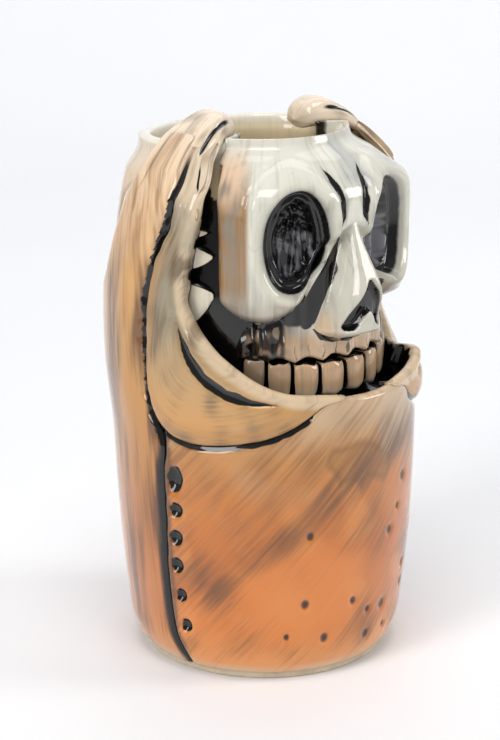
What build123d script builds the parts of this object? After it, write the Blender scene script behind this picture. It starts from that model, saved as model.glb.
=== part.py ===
from build123d import *
import os
from math import copysign, cos, radians, sin

# A skull-in-a-creature's-mouth tiki mug, millimetres, +Z up. It stands on the XY plane with the
# origin under the middle of its box, and the face looks along -Y. Left and right are as seen
# from the front, so left is -X.

os.makedirs("parts", exist_ok=True)

# ---- body ----
RIM_Z = 168.0  # height of the drinking rim
TIP_RISE = 10.0  # how far the curled tips stand above the rim
FOOT_HEIGHT = 2.5  # the unglazed ring that the mug stands on
FOOT_OUTER = 39.5
FOOT_WIDTH = 7.0
BASE_RADIUS = 41.0  # the skin just above the foot
HEEL_RISE = 6.0  # height of the rounded heel
HEEL_RADIUS = 43.6
FLANK_RADIUS = 46.8  # lower side of the barrel
FLANK_Z = 34.0
BELLY_RADIUS = 48.5
BELLY_SHARE = 3 / 7  # the belly is widest at this share of the rim's height
SHOULDER_SET_BACK = 2.8  # the skin behind the skull, in from the belly
SHOULDER_DROP = 26.0  # below the rim
RIM_RADIUS = 38.0
SKIN = 3.0  # thickness of the sheets laid over the cup
WALL = 3.5  # wall of the cup itself
FLOOR = 5.0
SHELF_WALL = 4.5  # clay above the chamber where the wall turns in under the skull
NECK_INSET = 0.4  # the neck starts just inside the drum
NECK_LEAN = 1.0  # and its back leans in by this at the shelf
NECK_LEAN_TOP = 3.0  # and by this at the shoulder

# ---- mouth of the cup: distances from the axis to the outside of its wall ----
RIM_FRONT = 21.5
RIM_SIDE = 30.0
RIM_BACK = 37.0
THROAT_FRONT = 28.0  # behind the eye sockets
THROAT_SIDE = 39.5
THROAT_DROP = 33.0
JAW_SHELF_DROP = 84.0  # where the wall turns in under the skull
JAW_SHELF_RISE = 10.0
OUTLINE_MIDDLE = 4.0  # the widest line of the mouth lies behind the axis
SQUARENESS = 2.5  # 2 is an ellipse; the back corners are fuller
OUTLINE_STEP = 15  # degrees between the points of an outline

# ---- hood: the side rolls, the folds that sweep under the jaw and the curled tips ----
HOOD_RISE = 2.6  # how far the hood stands proud of the belly
ROLL_FRONT_ANGLE = 50.0  # clear in front of the seam
BACK_START_ANGLE = 98.0  # clear in front of the roll's back edge
ROLL_BACK_ANGLE = 132.0  # from the front, where the roll meets the back shell
HOOD_TOP_DROP = 7.0
ROLL_SLOPE_DROP = 38.0  # below the rim, where the back edge of the roll starts to slope forward
ROLL_TOP_Y = 6.0  # and where that edge reaches the rim
LIP_TOP_DROP = 48.0
TIP_RADIUS = 7.5
TIP_REACH = 15.0  # from the middle of the mug to the end of each tip
TIP_ROOT_OUT = 5.5  # from the side of the cup's rim to the middle of the limb below the tip
TIP_BEND = (2.5, 0.8, 6.5)  # out from the rim, back, and up from the root, halfway along
TIP_END_Y = 2.5

# ---- skull ----
FACE_SET_BACK = 4.0  # cheeks and brow, in from the belly
BROW_DROP = 10.0
CHEEK_DROP = 54.0  # lowest line of the cheekbones
FOREHEAD_RIM = 26.5
SKULL_HALF_WIDTH = 35.5
SKULL_BACK_Y = -17.0
SOCKET_FLOOR = 11.0  # depth of the eye sockets
NOSE_TOP_DROP = 25.0
NOSE_APEX_DROP = 40.0
NOSE_BASE_DROP = 56.5
NOSE_HALF_WIDTH = 16.0
NOSE_BRIDGE_HALF = 3.5
NOSE_WING_RISE = 4.0  # the wings of the nose are widest this far above its base
NOSE_ROOT_DEPTH = 4.0  # how deep the nose is set into the face and the jaw
NOSTRIL_DEPTH = 4.5
NOSTRIL_HALF_WIDTH = 6.5
NOSTRIL_NOTCH = 8.0  # height of the septum's point above the base
TEETH_SET_BACK = 10.5  # in from the belly
TEETH_TOP_DROP = 66.0
TEETH_LENGTH = 10.5
TOOTH_DEPTH = 6.0
TOOTH_PITCH = 13.5  # degrees
TOOTH_GAP = 1.6  # degrees
TEETH_PER_SIDE = 4
JAW_HALF_WIDTH = 31.0
JAW_FRONT_Y = -12.0  # the gum bone is only in front of this
JAW_RISE = 18.0  # height of the gum bone above the teeth
JAW_GAP = 8.0  # open slot between the lip and the teeth, front to back, with the lip's wall
LIP_DROP = 75.0
FANG_TIP_Y = SKULL_BACK_Y + 0.6
FANG_RADIUS = 43.0  # how far out the fangs' faces stand
# one fang a row: drops of its top, its point and its bottom
FANGS = ((23.2, 24.3, 25.4), (28.5, 32.0, 35.0), (40.0, 42.5, 51.0))

FAR = 2 * (BELLY_RADIUS + HOOD_RISE)  # beyond the whole mug
CREST_Z = RIM_Z + TIP_RISE
BELLY_Z = BELLY_SHARE * RIM_Z

hood_radius = BELLY_RADIUS + HOOD_RISE
FRONT_Y = -hood_radius - 2.0  # just clear of the front of the hood
face_radius = BELLY_RADIUS - FACE_SET_BACK
teeth_radius = BELLY_RADIUS - TEETH_SET_BACK
lip_inner = teeth_radius + JAW_GAP / 2
shelf_z = RIM_Z - JAW_SHELF_DROP


def down(drop):
    """Height of something that is placed from the rim."""
    return RIM_Z - drop


def skin_points(radius, inset):
    """(r, z) points up the outside of a sheet whose belly has that radius."""
    grown = radius - BELLY_RADIUS
    return [
        (BASE_RADIUS - inset, FOOT_HEIGHT),
        (HEEL_RADIUS - inset, FOOT_HEIGHT + HEEL_RISE),
        (FLANK_RADIUS + grown - inset, FLANK_Z),
        (radius - inset, BELLY_Z),
        (radius - SHOULDER_SET_BACK - inset, down(SHOULDER_DROP)),
        (RIM_RADIUS + grown - inset, RIM_Z),
    ]


def barrel(points):
    """Edges of a half section between a line of (r, z) points and the axis."""
    with BuildLine() as section:
        Spline(*points)
        Polyline(points[-1], (0, points[-1][1]), (0, points[0][1]), points[0])
    return section.edges()


def outline(front, side, back, middle, square, inset=0.0):
    """The wall's plan at one height: an ellipse in front and a squarer curve behind."""
    points = []
    for angle in range(0, 360, OUTLINE_STEP):
        across, along = cos(radians(angle)), sin(radians(angle))
        power = 2 / (square if along > 0 else 2)
        depth = back - middle if along > 0 else front + middle
        points.append(
            (
                (side - inset) * copysign(abs(across) ** power, across),
                middle + (depth - inset) * copysign(abs(along) ** power, along),
            )
        )
    with BuildLine() as plan:
        Spline(*points, periodic=True)
    return plan.edges()


def revolved(points):
    """The solid of revolution whose outside follows those (r, z) points."""
    with BuildPart() as turned:
        with BuildSketch(Plane.XZ):
            make_face(barrel(points))
        revolve(axis=Axis.Z)
    return turned.part


def throat(inset, sink):
    """The neck of the cup, from the shelf under the jaw up to the rim."""
    drum = BELLY_RADIUS - SKIN - NECK_INSET
    stations = [
        (shelf_z - sink, (drum, drum, drum, 0.0, 2.0)),
        (
            shelf_z + JAW_SHELF_RISE - sink,
            (THROAT_FRONT, THROAT_SIDE, drum - NECK_LEAN, OUTLINE_MIDDLE, SQUARENESS),
        ),
        (
            down(THROAT_DROP),
            (THROAT_FRONT, THROAT_SIDE, drum - NECK_LEAN_TOP, OUTLINE_MIDDLE, SQUARENESS),
        ),
        (RIM_Z, (RIM_FRONT, RIM_SIDE, RIM_BACK, OUTLINE_MIDDLE, SQUARENESS)),
    ]
    with BuildPart() as neck:
        for height, shape in stations:
            with BuildSketch(Plane.XY.offset(height)):
                make_face(outline(*shape, inset))
        loft(ruled=True)
    return neck.part


# ---- lines of the hood seen from the side, as (y, z) ----
seam_line = [
    (-14.5, down(2)),
    (-7.8, down(17)),
    (-1.0, down(34)),
    (1.3, down(47)),
    (-0.5, down(75)),
    (-5.9, down(90)),
]
mouth_line = [
    (-20.6, down(0)),
    (-16.0, down(19)),
    (-12.0, down(42)),
    (-19.7, down(58)),
    (-36.9, down(72.5)),
    (FRONT_Y, down(LIP_DROP)),
]
crescent_line = [
    (FRONT_Y, down(LIP_DROP + 1.0)),
    (-42.0, down(83)),
    (-24.0, down(89)),
    (-5.9, down(90)),
]
lip_line = [
    (-12.0, down(LIP_TOP_DROP)),
    (-18.0, down(62)),
    (-26.7, down(70.7)),
    (-FAR / 2, down(LIP_DROP + 1.0)),
]


def direction(angle, side=1, reach=FAR):
    """A point out from the axis, that many degrees round from the front."""
    return (side * reach * sin(radians(angle)), -reach * cos(radians(angle)))


def sector(start, end, side=1):
    """A tall wedge about the axis between two angles from the front."""
    with BuildPart() as wedge:
        with BuildSketch():
            with BuildLine():
                Polyline(
                    (0, 0),
                    direction(start, side),
                    direction((start + end) / 2, side, 2 * FAR),
                    direction(end, side),
                    (0, 0),
                )
            make_face()
        extrude(amount=CREST_Z + FAR)
    return wedge.part


def largest(blank):
    """The piece itself, without the crumbs of clay that trimming left beside it."""
    return blank.part.solids().sort_by(SortBy.VOLUME)[-1]


def side_prism(edges, side):
    """An outline drawn from the side, as (y, z), run out from the middle plane to one side."""
    with BuildPart() as prism:
        with BuildSketch(Plane.YZ):
            make_face(edges)
        extrude(amount=side * FAR)
    return prism.part


def cross_prism(edges):
    """An outline drawn from the side, as (y, z), run right across the mug."""
    with BuildPart() as prism:
        with BuildSketch(Plane.YZ):
            make_face(edges)
        extrude(amount=FAR, both=True)
    return prism.part


def front_prism(edges, start_y):
    """An outline drawn from the front, as (x, z), run forward from that y."""
    with BuildPart() as prism:
        with BuildSketch(Plane.XZ.offset(-start_y)):
            make_face(edges)
        extrude(amount=FAR)
    return prism.part


# ---- outer forms that the pieces are cut from ----
skin_solid = revolved(skin_points(BELLY_RADIUS, 0.0))
hood_solid = revolved(skin_points(hood_radius, 0.0))

with BuildPart() as mouth_bowl:
    with Locations((0, 0, shelf_z)):
        Cylinder(lip_inner, FAR, align=(Align.CENTER, Align.CENTER, Align.MIN))
    split(bisect_by=Plane.XZ.offset(-SKULL_BACK_Y), keep=Keep.TOP)

# ---- cup: floor, drum wall and the neck behind the skull ----
with BuildPart() as drum:
    add(revolved(skin_points(BELLY_RADIUS, SKIN)))
    split(bisect_by=Plane.XY.offset(shelf_z), keep=Keep.BOTTOM)

with BuildPart() as chamber:
    add(revolved(skin_points(BELLY_RADIUS, SKIN + WALL)))
    split(bisect_by=Plane.XY.offset(shelf_z - SHELF_WALL), keep=Keep.BOTTOM)
    split(bisect_by=Plane.XY.offset(FOOT_HEIGHT + FLOOR), keep=Keep.TOP)

with BuildPart() as cavity:
    add(throat(WALL, SHELF_WALL))
    add(revolved(skin_points(hood_radius, SKIN + WALL)), mode=Mode.INTERSECT)
    add(chamber.part)

with BuildPart() as cup_block:
    add(throat(0.0, 0.0))
    add(revolved(skin_points(hood_radius, SKIN)), mode=Mode.INTERSECT)
    add(drum.part)

with BuildPart() as cup:
    add(cup_block.part)
    add(cavity.part, mode=Mode.SUBTRACT)
cup.part.label = "cup"
export_step(cup.part, "parts/cup.step")

# ---- foot ring ----
with BuildPart() as foot_ring:
    with BuildSketch():
        Circle(FOOT_OUTER)
        Circle(FOOT_OUTER - FOOT_WIDTH, mode=Mode.SUBTRACT)
    extrude(amount=FOOT_HEIGHT)
    fillet(foot_ring.edges().group_by(Axis.Z)[0], FOOT_HEIGHT / 3)
foot_ring.part.label = "foot_ring"
export_step(foot_ring.part, "parts/foot_ring.step")

# ---- hood ----
hood_top = down(HOOD_TOP_DROP)

with BuildLine() as roll_outline:
    Spline(*seam_line)
    Polyline(
        seam_line[-1],
        (seam_line[-1][0], FOOT_HEIGHT),
        (FAR, FOOT_HEIGHT),
        (FAR, down(ROLL_SLOPE_DROP)),
        (ROLL_TOP_Y, RIM_Z),
        seam_line[0],
    )
with BuildLine() as fold_outline:
    Spline(*seam_line)
    Spline(*crescent_line)
    Polyline(crescent_line[0], (FRONT_Y, RIM_Z), (seam_line[0][0], RIM_Z), seam_line[0])
with BuildLine() as mouth_outline:
    Spline(*mouth_line)
    Polyline(
        mouth_line[-1],
        (-FAR, mouth_line[-1][1]),
        (-FAR, CREST_Z),
        (mouth_line[0][0], CREST_Z),
        mouth_line[0],
    )
with BuildLine() as lip_outline:
    Spline(*lip_line)
    Polyline(lip_line[-1], (FRONT_Y, lip_line[0][1]), lip_line[0])
with BuildLine() as apron_outline:
    Polyline(
        (-FAR, FOOT_HEIGHT),
        (seam_line[-1][0], FOOT_HEIGHT),
        seam_line[-1],
        (seam_line[-1][0], mouth_line[-1][1]),
        (-FAR, mouth_line[-1][1]),
        (-FAR, FOOT_HEIGHT),
    )

rolls, folds, lips = [], [], []
for name, side in (("left", -1), ("right", 1)):
    mouth_prism = side_prism(mouth_outline.edges(), side)

    with BuildPart() as side_roll:
        add(hood_solid)
        add(side_prism(roll_outline.edges(), side), mode=Mode.INTERSECT)
        add(sector(ROLL_FRONT_ANGLE, ROLL_BACK_ANGLE, side), mode=Mode.INTERSECT)
        split(bisect_by=Plane.XY.offset(hood_top), keep=Keep.BOTTOM)
        add(cup_block.part, mode=Mode.SUBTRACT)
    rolls.append(side_roll.part)

    with BuildPart() as lip_roll:
        add(hood_solid)
        add(side_prism(lip_outline.edges(), side), mode=Mode.INTERSECT)
        add(mouth_prism, mode=Mode.SUBTRACT)
        add(mouth_bowl.part, mode=Mode.SUBTRACT)
        add(cup_block.part, mode=Mode.SUBTRACT)
    lips.append(lip_roll.part)

    with BuildPart() as hood_fold:
        add(hood_solid)
        add(side_prism(fold_outline.edges(), side), mode=Mode.INTERSECT)
        split(bisect_by=Plane.XY.offset(hood_top), keep=Keep.BOTTOM)
        add(mouth_prism, mode=Mode.SUBTRACT)
        add(side_prism(lip_outline.edges(), side), mode=Mode.SUBTRACT)
        add(mouth_bowl.part, mode=Mode.SUBTRACT)
        add(cup_block.part, mode=Mode.SUBTRACT)
    folds.append(hood_fold.part)
    for title, piece in (("side_roll", side_roll), ("lip_roll", lip_roll), ("hood_fold", hood_fold)):
        piece.part.label = f"{name}_{title}"
        export_step(piece.part, f"parts/{name}_{title}.step")

with BuildPart() as back_shell:
    add(hood_solid)
    add(sector(BACK_START_ANGLE, 360 - BACK_START_ANGLE), mode=Mode.INTERSECT)
    add(cup_block.part, mode=Mode.SUBTRACT)
    for roll in rolls:
        add(roll, mode=Mode.SUBTRACT)
back_shell.part.label = "back_shell"
export_step(back_shell.part, "parts/back_shell.step")

with BuildPart() as apron_blank:
    add(skin_solid)
    add(cross_prism(apron_outline.edges()), mode=Mode.INTERSECT)
    add(mouth_bowl.part, mode=Mode.SUBTRACT)
    add(cup_block.part, mode=Mode.SUBTRACT)
    for piece in folds + lips + rolls:
        add(piece, mode=Mode.SUBTRACT)

with BuildPart() as front_apron:
    add(largest(apron_blank))
front_apron.part.label = "front_apron"
export_step(front_apron.part, "parts/front_apron.step")

# ---- fangs: wedges on the inner edge of each fold, pointing at the skull ----
for name, side, fold, lip in (("left", -1, folds[0], lips[0]), ("right", 1, folds[1], lips[1])):
    for number, (top, point, bottom) in enumerate(FANGS, start=1):
        with BuildLine() as wedge:
            Polyline(
                (0, down(top)),
                (mouth_line[2][0], down(top)),
                (FANG_TIP_Y, down(point)),
                (mouth_line[2][0], down(bottom)),
                (0, down(bottom)),
                (0, down(top)),
            )
        with BuildPart() as fang:
            Cylinder(FANG_RADIUS, RIM_Z, align=(Align.CENTER, Align.CENTER, Align.MIN))
            add(side_prism(wedge.edges(), side), mode=Mode.INTERSECT)
            add(cup_block.part, mode=Mode.SUBTRACT)
            add(fold, mode=Mode.SUBTRACT)
            add(lip, mode=Mode.SUBTRACT)
            add(rolls[0], mode=Mode.SUBTRACT)
            add(rolls[1], mode=Mode.SUBTRACT)
        fang.part.label = f"{name}_fang_{number}"
        export_step(fang.part, f"parts/{name}_fang_{number}.step")

# ---- curled tips: each rises from the top of a fold and roll and hooks over the rim ----
for name, side in (("left", -1), ("right", 1)):
    tip_end = TIP_REACH + TIP_RADIUS
    tip_z = CREST_Z - TIP_RADIUS
    with BuildPart() as curl_tip:
        with BuildLine() as curl:
            ThreePointArc(
                (side * (RIM_SIDE + TIP_ROOT_OUT), 0, hood_top),
                (side * (RIM_SIDE + TIP_BEND[0]), TIP_BEND[1], hood_top + TIP_BEND[2]),
                (side * tip_end, TIP_END_Y, tip_z),
            )
        with BuildSketch(Plane(origin=curl.line @ 0, z_dir=curl.line % 0)):
            Circle(TIP_RADIUS)
        sweep()
        with Locations(curl.line @ 1):
            Sphere(TIP_RADIUS)
        split(bisect_by=Plane.XY.offset(hood_top), keep=Keep.TOP)
        add(cup_block.part, mode=Mode.SUBTRACT)
        add(back_shell.part, mode=Mode.SUBTRACT)
    curl_tip.part.label = f"{name}_curl_tip"
    export_step(curl_tip.part, f"parts/{name}_curl_tip.step")

# ---- skull ----
tooth_top = down(TEETH_TOP_DROP)
nose_front = [
    (NOSE_BRIDGE_HALF, down(NOSE_TOP_DROP)),
    (NOSE_HALF_WIDTH, down(NOSE_BASE_DROP) + NOSE_WING_RISE),
    (NOSE_HALF_WIDTH - 3, down(NOSE_BASE_DROP)),
]
with BuildLine() as nose_plan:
    Polyline(*nose_front, *[(-x, z) for x, z in reversed(nose_front)], nose_front[0])
nose_root = -teeth_radius + NOSE_ROOT_DEPTH
with BuildLine() as nose_side:
    Polyline(
        (nose_root, down(NOSE_TOP_DROP) + 1),
        (-face_radius + NOSE_ROOT_DEPTH, down(NOSE_TOP_DROP)),
        (-BELLY_RADIUS, down(NOSE_APEX_DROP)),
        (-BELLY_RADIUS + 3, down(NOSE_BASE_DROP) + 2),
        (-BELLY_RADIUS + 5, down(NOSE_BASE_DROP)),
        (nose_root, down(NOSE_BASE_DROP)),
        (nose_root, down(NOSE_TOP_DROP) + 1),
    )
with BuildPart() as nose_bone:
    add(front_prism(nose_plan.edges(), nose_root + 2))
    add(cross_prism(nose_side.edges()), mode=Mode.INTERSECT)
    with BuildSketch(Plane.XZ.offset(BELLY_RADIUS)):
        with BuildLine():
            Polyline(
                (0, down(NOSE_APEX_DROP)),
                (NOSTRIL_HALF_WIDTH, down(NOSE_BASE_DROP) + NOSE_WING_RISE),
                (0, down(NOSE_BASE_DROP) + NOSTRIL_NOTCH),
                (-NOSTRIL_HALF_WIDTH, down(NOSE_BASE_DROP) + NOSE_WING_RISE),
                (0, down(NOSE_APEX_DROP)),
            )
        make_face()
    extrude(amount=-NOSTRIL_DEPTH, mode=Mode.SUBTRACT)
    add(cup_block.part, mode=Mode.SUBTRACT)
nose_bone.part.label = "nose_bone"
export_step(nose_bone.part, "parts/nose_bone.step")

skull_half = [
    (FOREHEAD_RIM + 4, RIM_Z),
    (SKULL_HALF_WIDTH, down(BROW_DROP)),
    (SKULL_HALF_WIDTH, down(CHEEK_DROP) + 8),
    (SKULL_HALF_WIDTH - 6, down(CHEEK_DROP)),
    (SKULL_HALF_WIDTH - 14, down(CHEEK_DROP)),
    (NOSE_HALF_WIDTH - 2, down(CHEEK_DROP) + 12),
]
with BuildLine() as skull_plan:
    Polyline(*skull_half, *[(-x, z) for x, z in reversed(skull_half)], skull_half[0])
socket = [
    (8.5, down(32)),
    (11.0, down(20)),
    (19.0, down(12.5)),
    (26.5, down(20)),
    (27.5, down(33)),
    (22.5, down(41)),
]
with BuildPart() as sockets:
    for side in (-1, 1):
        with BuildSketch(Plane.XZ):
            with BuildLine():
                Spline(*[(side * x, z) for x, z in socket], periodic=True)
            make_face()
    extrude(amount=FAR)
    Cylinder(face_radius - SOCKET_FLOOR, 4 * FAR, mode=Mode.SUBTRACT)

with BuildPart() as skull_blank:
    add(
        revolved(
            [
                (face_radius - 2, down(CHEEK_DROP) - 1),
                (face_radius, down(CHEEK_DROP) + 8),
                (face_radius, down(BROW_DROP) - 8),
                (face_radius - 2.5, down(BROW_DROP)),
                (FOREHEAD_RIM, RIM_Z),
            ]
        )
    )
    add(front_prism(skull_plan.edges(), SKULL_BACK_Y), mode=Mode.INTERSECT)
    add(sockets.part, mode=Mode.SUBTRACT)
    add(nose_bone.part, mode=Mode.SUBTRACT)
    add(cup_block.part, mode=Mode.SUBTRACT)

with BuildPart() as skull_mask:
    add(largest(skull_blank))
skull_mask.part.label = "skull_mask"
export_step(skull_mask.part, "parts/skull_mask.step")

with BuildPart() as upper_jaw:
    add(
        revolved(
            [
                (teeth_radius, tooth_top),
                (teeth_radius + 1.0, tooth_top + 4),
                (teeth_radius + 0.5, tooth_top + 10),
                (teeth_radius - 1, tooth_top + JAW_RISE),
            ]
        )
    )
    with BuildSketch(Plane.XY.offset(tooth_top)):
        with Locations((0, JAW_FRONT_Y - FAR / 2)):
            Rectangle(2 * JAW_HALF_WIDTH, FAR)
    extrude(amount=FAR, mode=Mode.INTERSECT)
    add(skull_mask.part, mode=Mode.SUBTRACT)
    add(nose_bone.part, mode=Mode.SUBTRACT)
    add(cup_block.part, mode=Mode.SUBTRACT)
    for piece in folds + lips:
        add(piece, mode=Mode.SUBTRACT)
upper_jaw.part.label = "upper_jaw"
export_step(upper_jaw.part, "parts/upper_jaw.step")

for name, side in (("left", -1), ("right", 1)):
    for number in range(TEETH_PER_SIDE):
        start = number * TOOTH_PITCH + TOOTH_GAP / 2
        x, y = direction(start, side, 1.0)
        with BuildPart() as tooth:
            with BuildSketch(Plane(origin=(0, 0, 0), x_dir=(x, y, 0), z_dir=(y, -x, 0))):
                with Locations((teeth_radius - TOOTH_DEPTH / 2, tooth_top - TEETH_LENGTH / 2)):
                    Rectangle(TOOTH_DEPTH, TEETH_LENGTH)
            revolve(axis=Axis.Z, revolution_arc=side * (TOOTH_PITCH - TOOTH_GAP))
            add(cup_block.part, mode=Mode.SUBTRACT)
        tooth.part.label = f"{name}_tooth_{number + 1}"
        export_step(tooth.part, f"parts/{name}_tooth_{number + 1}.step")
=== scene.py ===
"""A skull-in-the-mouth tiki mug of glazed ceramic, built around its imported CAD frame.

The add-on's operators each make one piece of the mug, or a group of like pieces. Sizes inside
the shape tables are millimetres; angles are degrees round from the front, positive to the left.
"""

from functools import partial

import bpy
import numpy as np
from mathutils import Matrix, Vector


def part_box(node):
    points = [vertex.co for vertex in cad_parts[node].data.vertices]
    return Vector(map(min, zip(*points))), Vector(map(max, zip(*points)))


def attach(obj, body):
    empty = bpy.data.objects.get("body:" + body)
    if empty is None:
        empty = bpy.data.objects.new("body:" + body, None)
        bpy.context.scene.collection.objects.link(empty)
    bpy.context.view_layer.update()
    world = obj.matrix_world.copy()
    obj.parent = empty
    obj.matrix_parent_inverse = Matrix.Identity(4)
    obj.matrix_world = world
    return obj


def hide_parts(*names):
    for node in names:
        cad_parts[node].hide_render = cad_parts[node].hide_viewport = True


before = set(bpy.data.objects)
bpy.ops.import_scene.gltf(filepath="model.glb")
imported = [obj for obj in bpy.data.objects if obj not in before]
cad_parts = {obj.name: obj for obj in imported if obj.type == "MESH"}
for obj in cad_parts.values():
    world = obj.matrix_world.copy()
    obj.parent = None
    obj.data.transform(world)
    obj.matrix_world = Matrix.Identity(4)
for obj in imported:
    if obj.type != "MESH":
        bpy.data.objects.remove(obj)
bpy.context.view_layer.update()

bl_info = {
    "name": "Tiki mug",
    "version": (1, 0, 0),
    "blender": (4, 5, 0),
    "location": "3D Viewport > Sidebar > Tiki mug",
    "description": "Builds a glazed tiki mug with a skull in a hooded mouth",
    "category": "Add Mesh",
}

MM = 0.001
SKIN_FOOT = 2.6  # height of the glazed skin's lower edge, above the foot ring
TOP_START = 143.0  # height at which the arm's top starts to take over from the barrel
RIBBON = 168.0  # length of the fold up to its top
SEAM_PHI = 0.46  # where the seam runs across the arm's top
CUT = 0.58  # share of the arm's top that belongs to the roll and the fold, before the tip
DEG = 0.838  # millimetres along the skin for each degree
BODY = "root"
FACE_MM = 0.75  # millimetres across the face for each degree
TOOTH_FRONT = 37.4  # radius of the teeth's front, before their bulge
SIDES = (("left", 1), ("right", -1))

# the paper sweep, in metres: length, level part, bend, width and how far it starts in front
FLOOR_RUN, FLOOR_LEVEL, FLOOR_BEND, FLOOR_WIDTH, FLOOR_FRONT = 3.4, 1.9, 0.8, 5, 1.1
FLOOR_TURN = -42.2  # degrees that the sweep is turned, to face the camera
CAMERA_PLACE = (-0.4363, -0.4815, 0.2817)
CAMERA_TARGET = (-0.00366, 0.00332, 0.09053)
CAMERA_LENS = 101.83

# ---- Shape tables ----

# height, radius of the plain barrel
BARREL = [
    (2.5, 40.6), (5, 42.2), (8, 43.5), (20, 45.4), (34, 46.9), (50, 47.9), (72, 48.5),
    (95, 48.4), (115, 47.8), (130, 46.8), (142, 45.6), (150, 44.4), (156, 43.2),
    (162, 41.5), (168, 39.4), (176, 36.0),
]
# height, angle of the seam between the arm and what lies in front of it
SEAM = [
    (2.5, 77.0), (4.5, 77.4), (14, 81.6), (28, 83), (52.9, 82.7), (67.7, 83), (78.2, 83),
    (86.2, 86.9), (93.4, 89.4), (106.3, 90.7), (121, 91.5), (133.9, 88.9), (141.6, 84.6),
    (151.3, 80.7), (159.4, 75.8), (166, 72.4), (172, 70),
]
# height, angle of the arm's rear edge
REAR = [(118, 137), (130, 130), (144, 123), (151, 119), (158, 106), (166, 100), (172, 98)]
# height, how far the arm stands out from the barrel
ARM_RISE = [
    (2, 0), (30, 0), (60, 0.4), (75, 0.8), (97, 2.8), (115, 3.2), (130, 3.2), (145, 2.8),
    (160, 2.0), (170, 1.5),
]
# angle, height of the top edge of the apron
APRON_TOP = [
    (0, 92.6), (9, 92.8), (14, 93.0), (17, 92.7), (20.7, 91.6), (25.4, 88.6), (31.2, 85.6),
    (39.2, 82.6), (50, 80.5), (60.7, 79.2), (71.7, 79.1), (80.2, 81), (85.1, 82.9), (92, 86.0),
]
# the fold as a ribbon: outer edge (angle, height) and inner edge (angle, height)
FOLD = [
    (14.0, 92.9, 13.0, 93.6), (20.7, 91.6, 19.5, 94.0), (25.4, 88.6, 26.0, 94.4),
    (31.2, 85.6, 33.0, 95.2), (39.2, 82.6, 40.5, 97.2), (50.0, 80.5, 47.7, 100.1),
    (60.7, 79.2, 54.5, 103.8), (71.7, 79.1, 60.5, 107.6), (80.2, 81.0, 65.5, 111.8),
    (86.9, 86.2, 69.8, 116.4), (89.4, 93.4, 72.8, 120.2), (90.7, 106.3, 74.3, 124.6),
    (91.5, 121.0, 74.4, 129.6), (88.9, 133.9, 73.2, 136.6), (84.0, 143.0, 71.4, 144.0),
    (80.7, 151.3, 68.6, 151.4), (75.8, 159.4, 65.6, 159.6), (72.4, 166.0, 63.6, 166.6),
]
# furrows along the arm's top: place across it, start, end, depth, ink
FURROWS = [
    (-0.55, 0.06, 0.72, 0.5, 0.50), (-0.12, 0.16, 0.60, 0.35, 0.26),
    (0.24, 0.30, 0.80, 0.4, 0.34), (0.78, 0.42, 0.90, 0.7, 0.95),
]
# how far a fold's inner edge is drawn back, in degrees and millimetres down
FOLD_BACK = {"left": 0.0, "right": 9.0}
# angle, height along the crease that leads down to the corner of the mouth
LIP_CREASE = [
    (76.2, 119), (73.6, 113.5), (70.0, 107.6), (64.6, 101.6), (56.4, 97.2), (47.3, 94.7),
    (36.0, 93.6),
]
# angle, outside radius of the drinking rim and of the neck behind the skull
RIM = [
    (0, 25.2), (20, 25.4), (40, 26), (60, 26.8), (70, 28.4), (80, 31.5), (90, 33.8),
    (110, 37.2), (128, 39.5), (140, 40.1), (160, 38.8), (180, 38.0),
]
NECK = [
    (0, 28), (20, 28.8), (40, 31.5), (60, 35.6), (75, 38.4), (90, 40.2), (110, 42.6),
    (135, 43.6), (160, 42.6), (180, 42.2),
]
# the top of the left arm, from the skin up and over the rim: rear edge, crest and front edge
LIMB = [
    ((-37.2, 26.0, 143.0), (-47.6, 3.0, 143.0), (-43.4, -14.6, 143.0)),
    ((-38.7, 21.5, 151.0), (-46.4, 2.0, 151.0), (-41.3, -16.2, 151.0)),
    ((-41.1, 12.4, 158.5), (-43.4, -1.8, 158.5), (-37.4, -16.6, 158.5)),
    ((-38.6, 8.6, 165.6), (-38.8, -2.0, 165.6), (-32.6, -13.2, 164.8)),
    ((-33.4, 8.8, 169.4), (-33.4, -1.6, 171.4), (-28.6, -11.4, 168.0)),
    ((-27.4, 9.6, 170.0), (-27.2, 0.0, 175.4), (-25.6, -9.8, 169.4)),
    ((-21.0, 9.8, 169.8), (-20.8, 1.2, 177.4), (-20.6, -6.8, 169.8)),
    ((-16.6, 8.2, 169.4), (-15.9, 2.2, 174.9), (-16.6, -3.6, 169.6)),
    ((-14.9, 3.4, 169.4), (-14.4, 3.0, 170.2), (-14.9, 2.4, 169.4)),
]
# skull, in degrees from the front and millimetres up
SKULL_EDGE = [
    (72, 178), (71, 164), (68.5, 156), (67, 148), (67, 124), (65.5, 120.5), (59, 117.3),
    (51.9, 115.6), (43.5, 115.1), (35.5, 116.2), (29.0, 118.8), (24.0, 122.8), (19.2, 128.2),
    (14.0, 134.0), (8.0, 139.8), (0, 142.5),
]
SOCKET = [
    (27.0, 157.6), (35.5, 156.0), (41.8, 150.0), (43.8, 142.2), (42.6, 134.0), (38.6, 127.8),
    (32.5, 125.4), (25.0, 126.4), (17.0, 131.4), (11.4, 136.6), (11.4, 142.4), (14.6, 150.4),
    (20.2, 156.0),
]
EYE_RING = [
    (49, 156.6), (44.6, 162.6), (34.8, 164.8), (27, 165.2), (18.2, 163.4), (11.4, 159.6),
    (7.4, 153.4), (6.6, 147.0), (7.5, 140.5), (12, 130), (22, 122.0), (36, 121.0), (46.0, 127),
    (49.6, 137), (50.6, 147),
]
NOSTRIL = [
    (-1.5, 129.0), (1.5, 129.0), (10.2, 115.2), (9.0, 113.6), (5.2, 114.4), (0.6, 119.8),
    (-0.6, 119.8),
]
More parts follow.
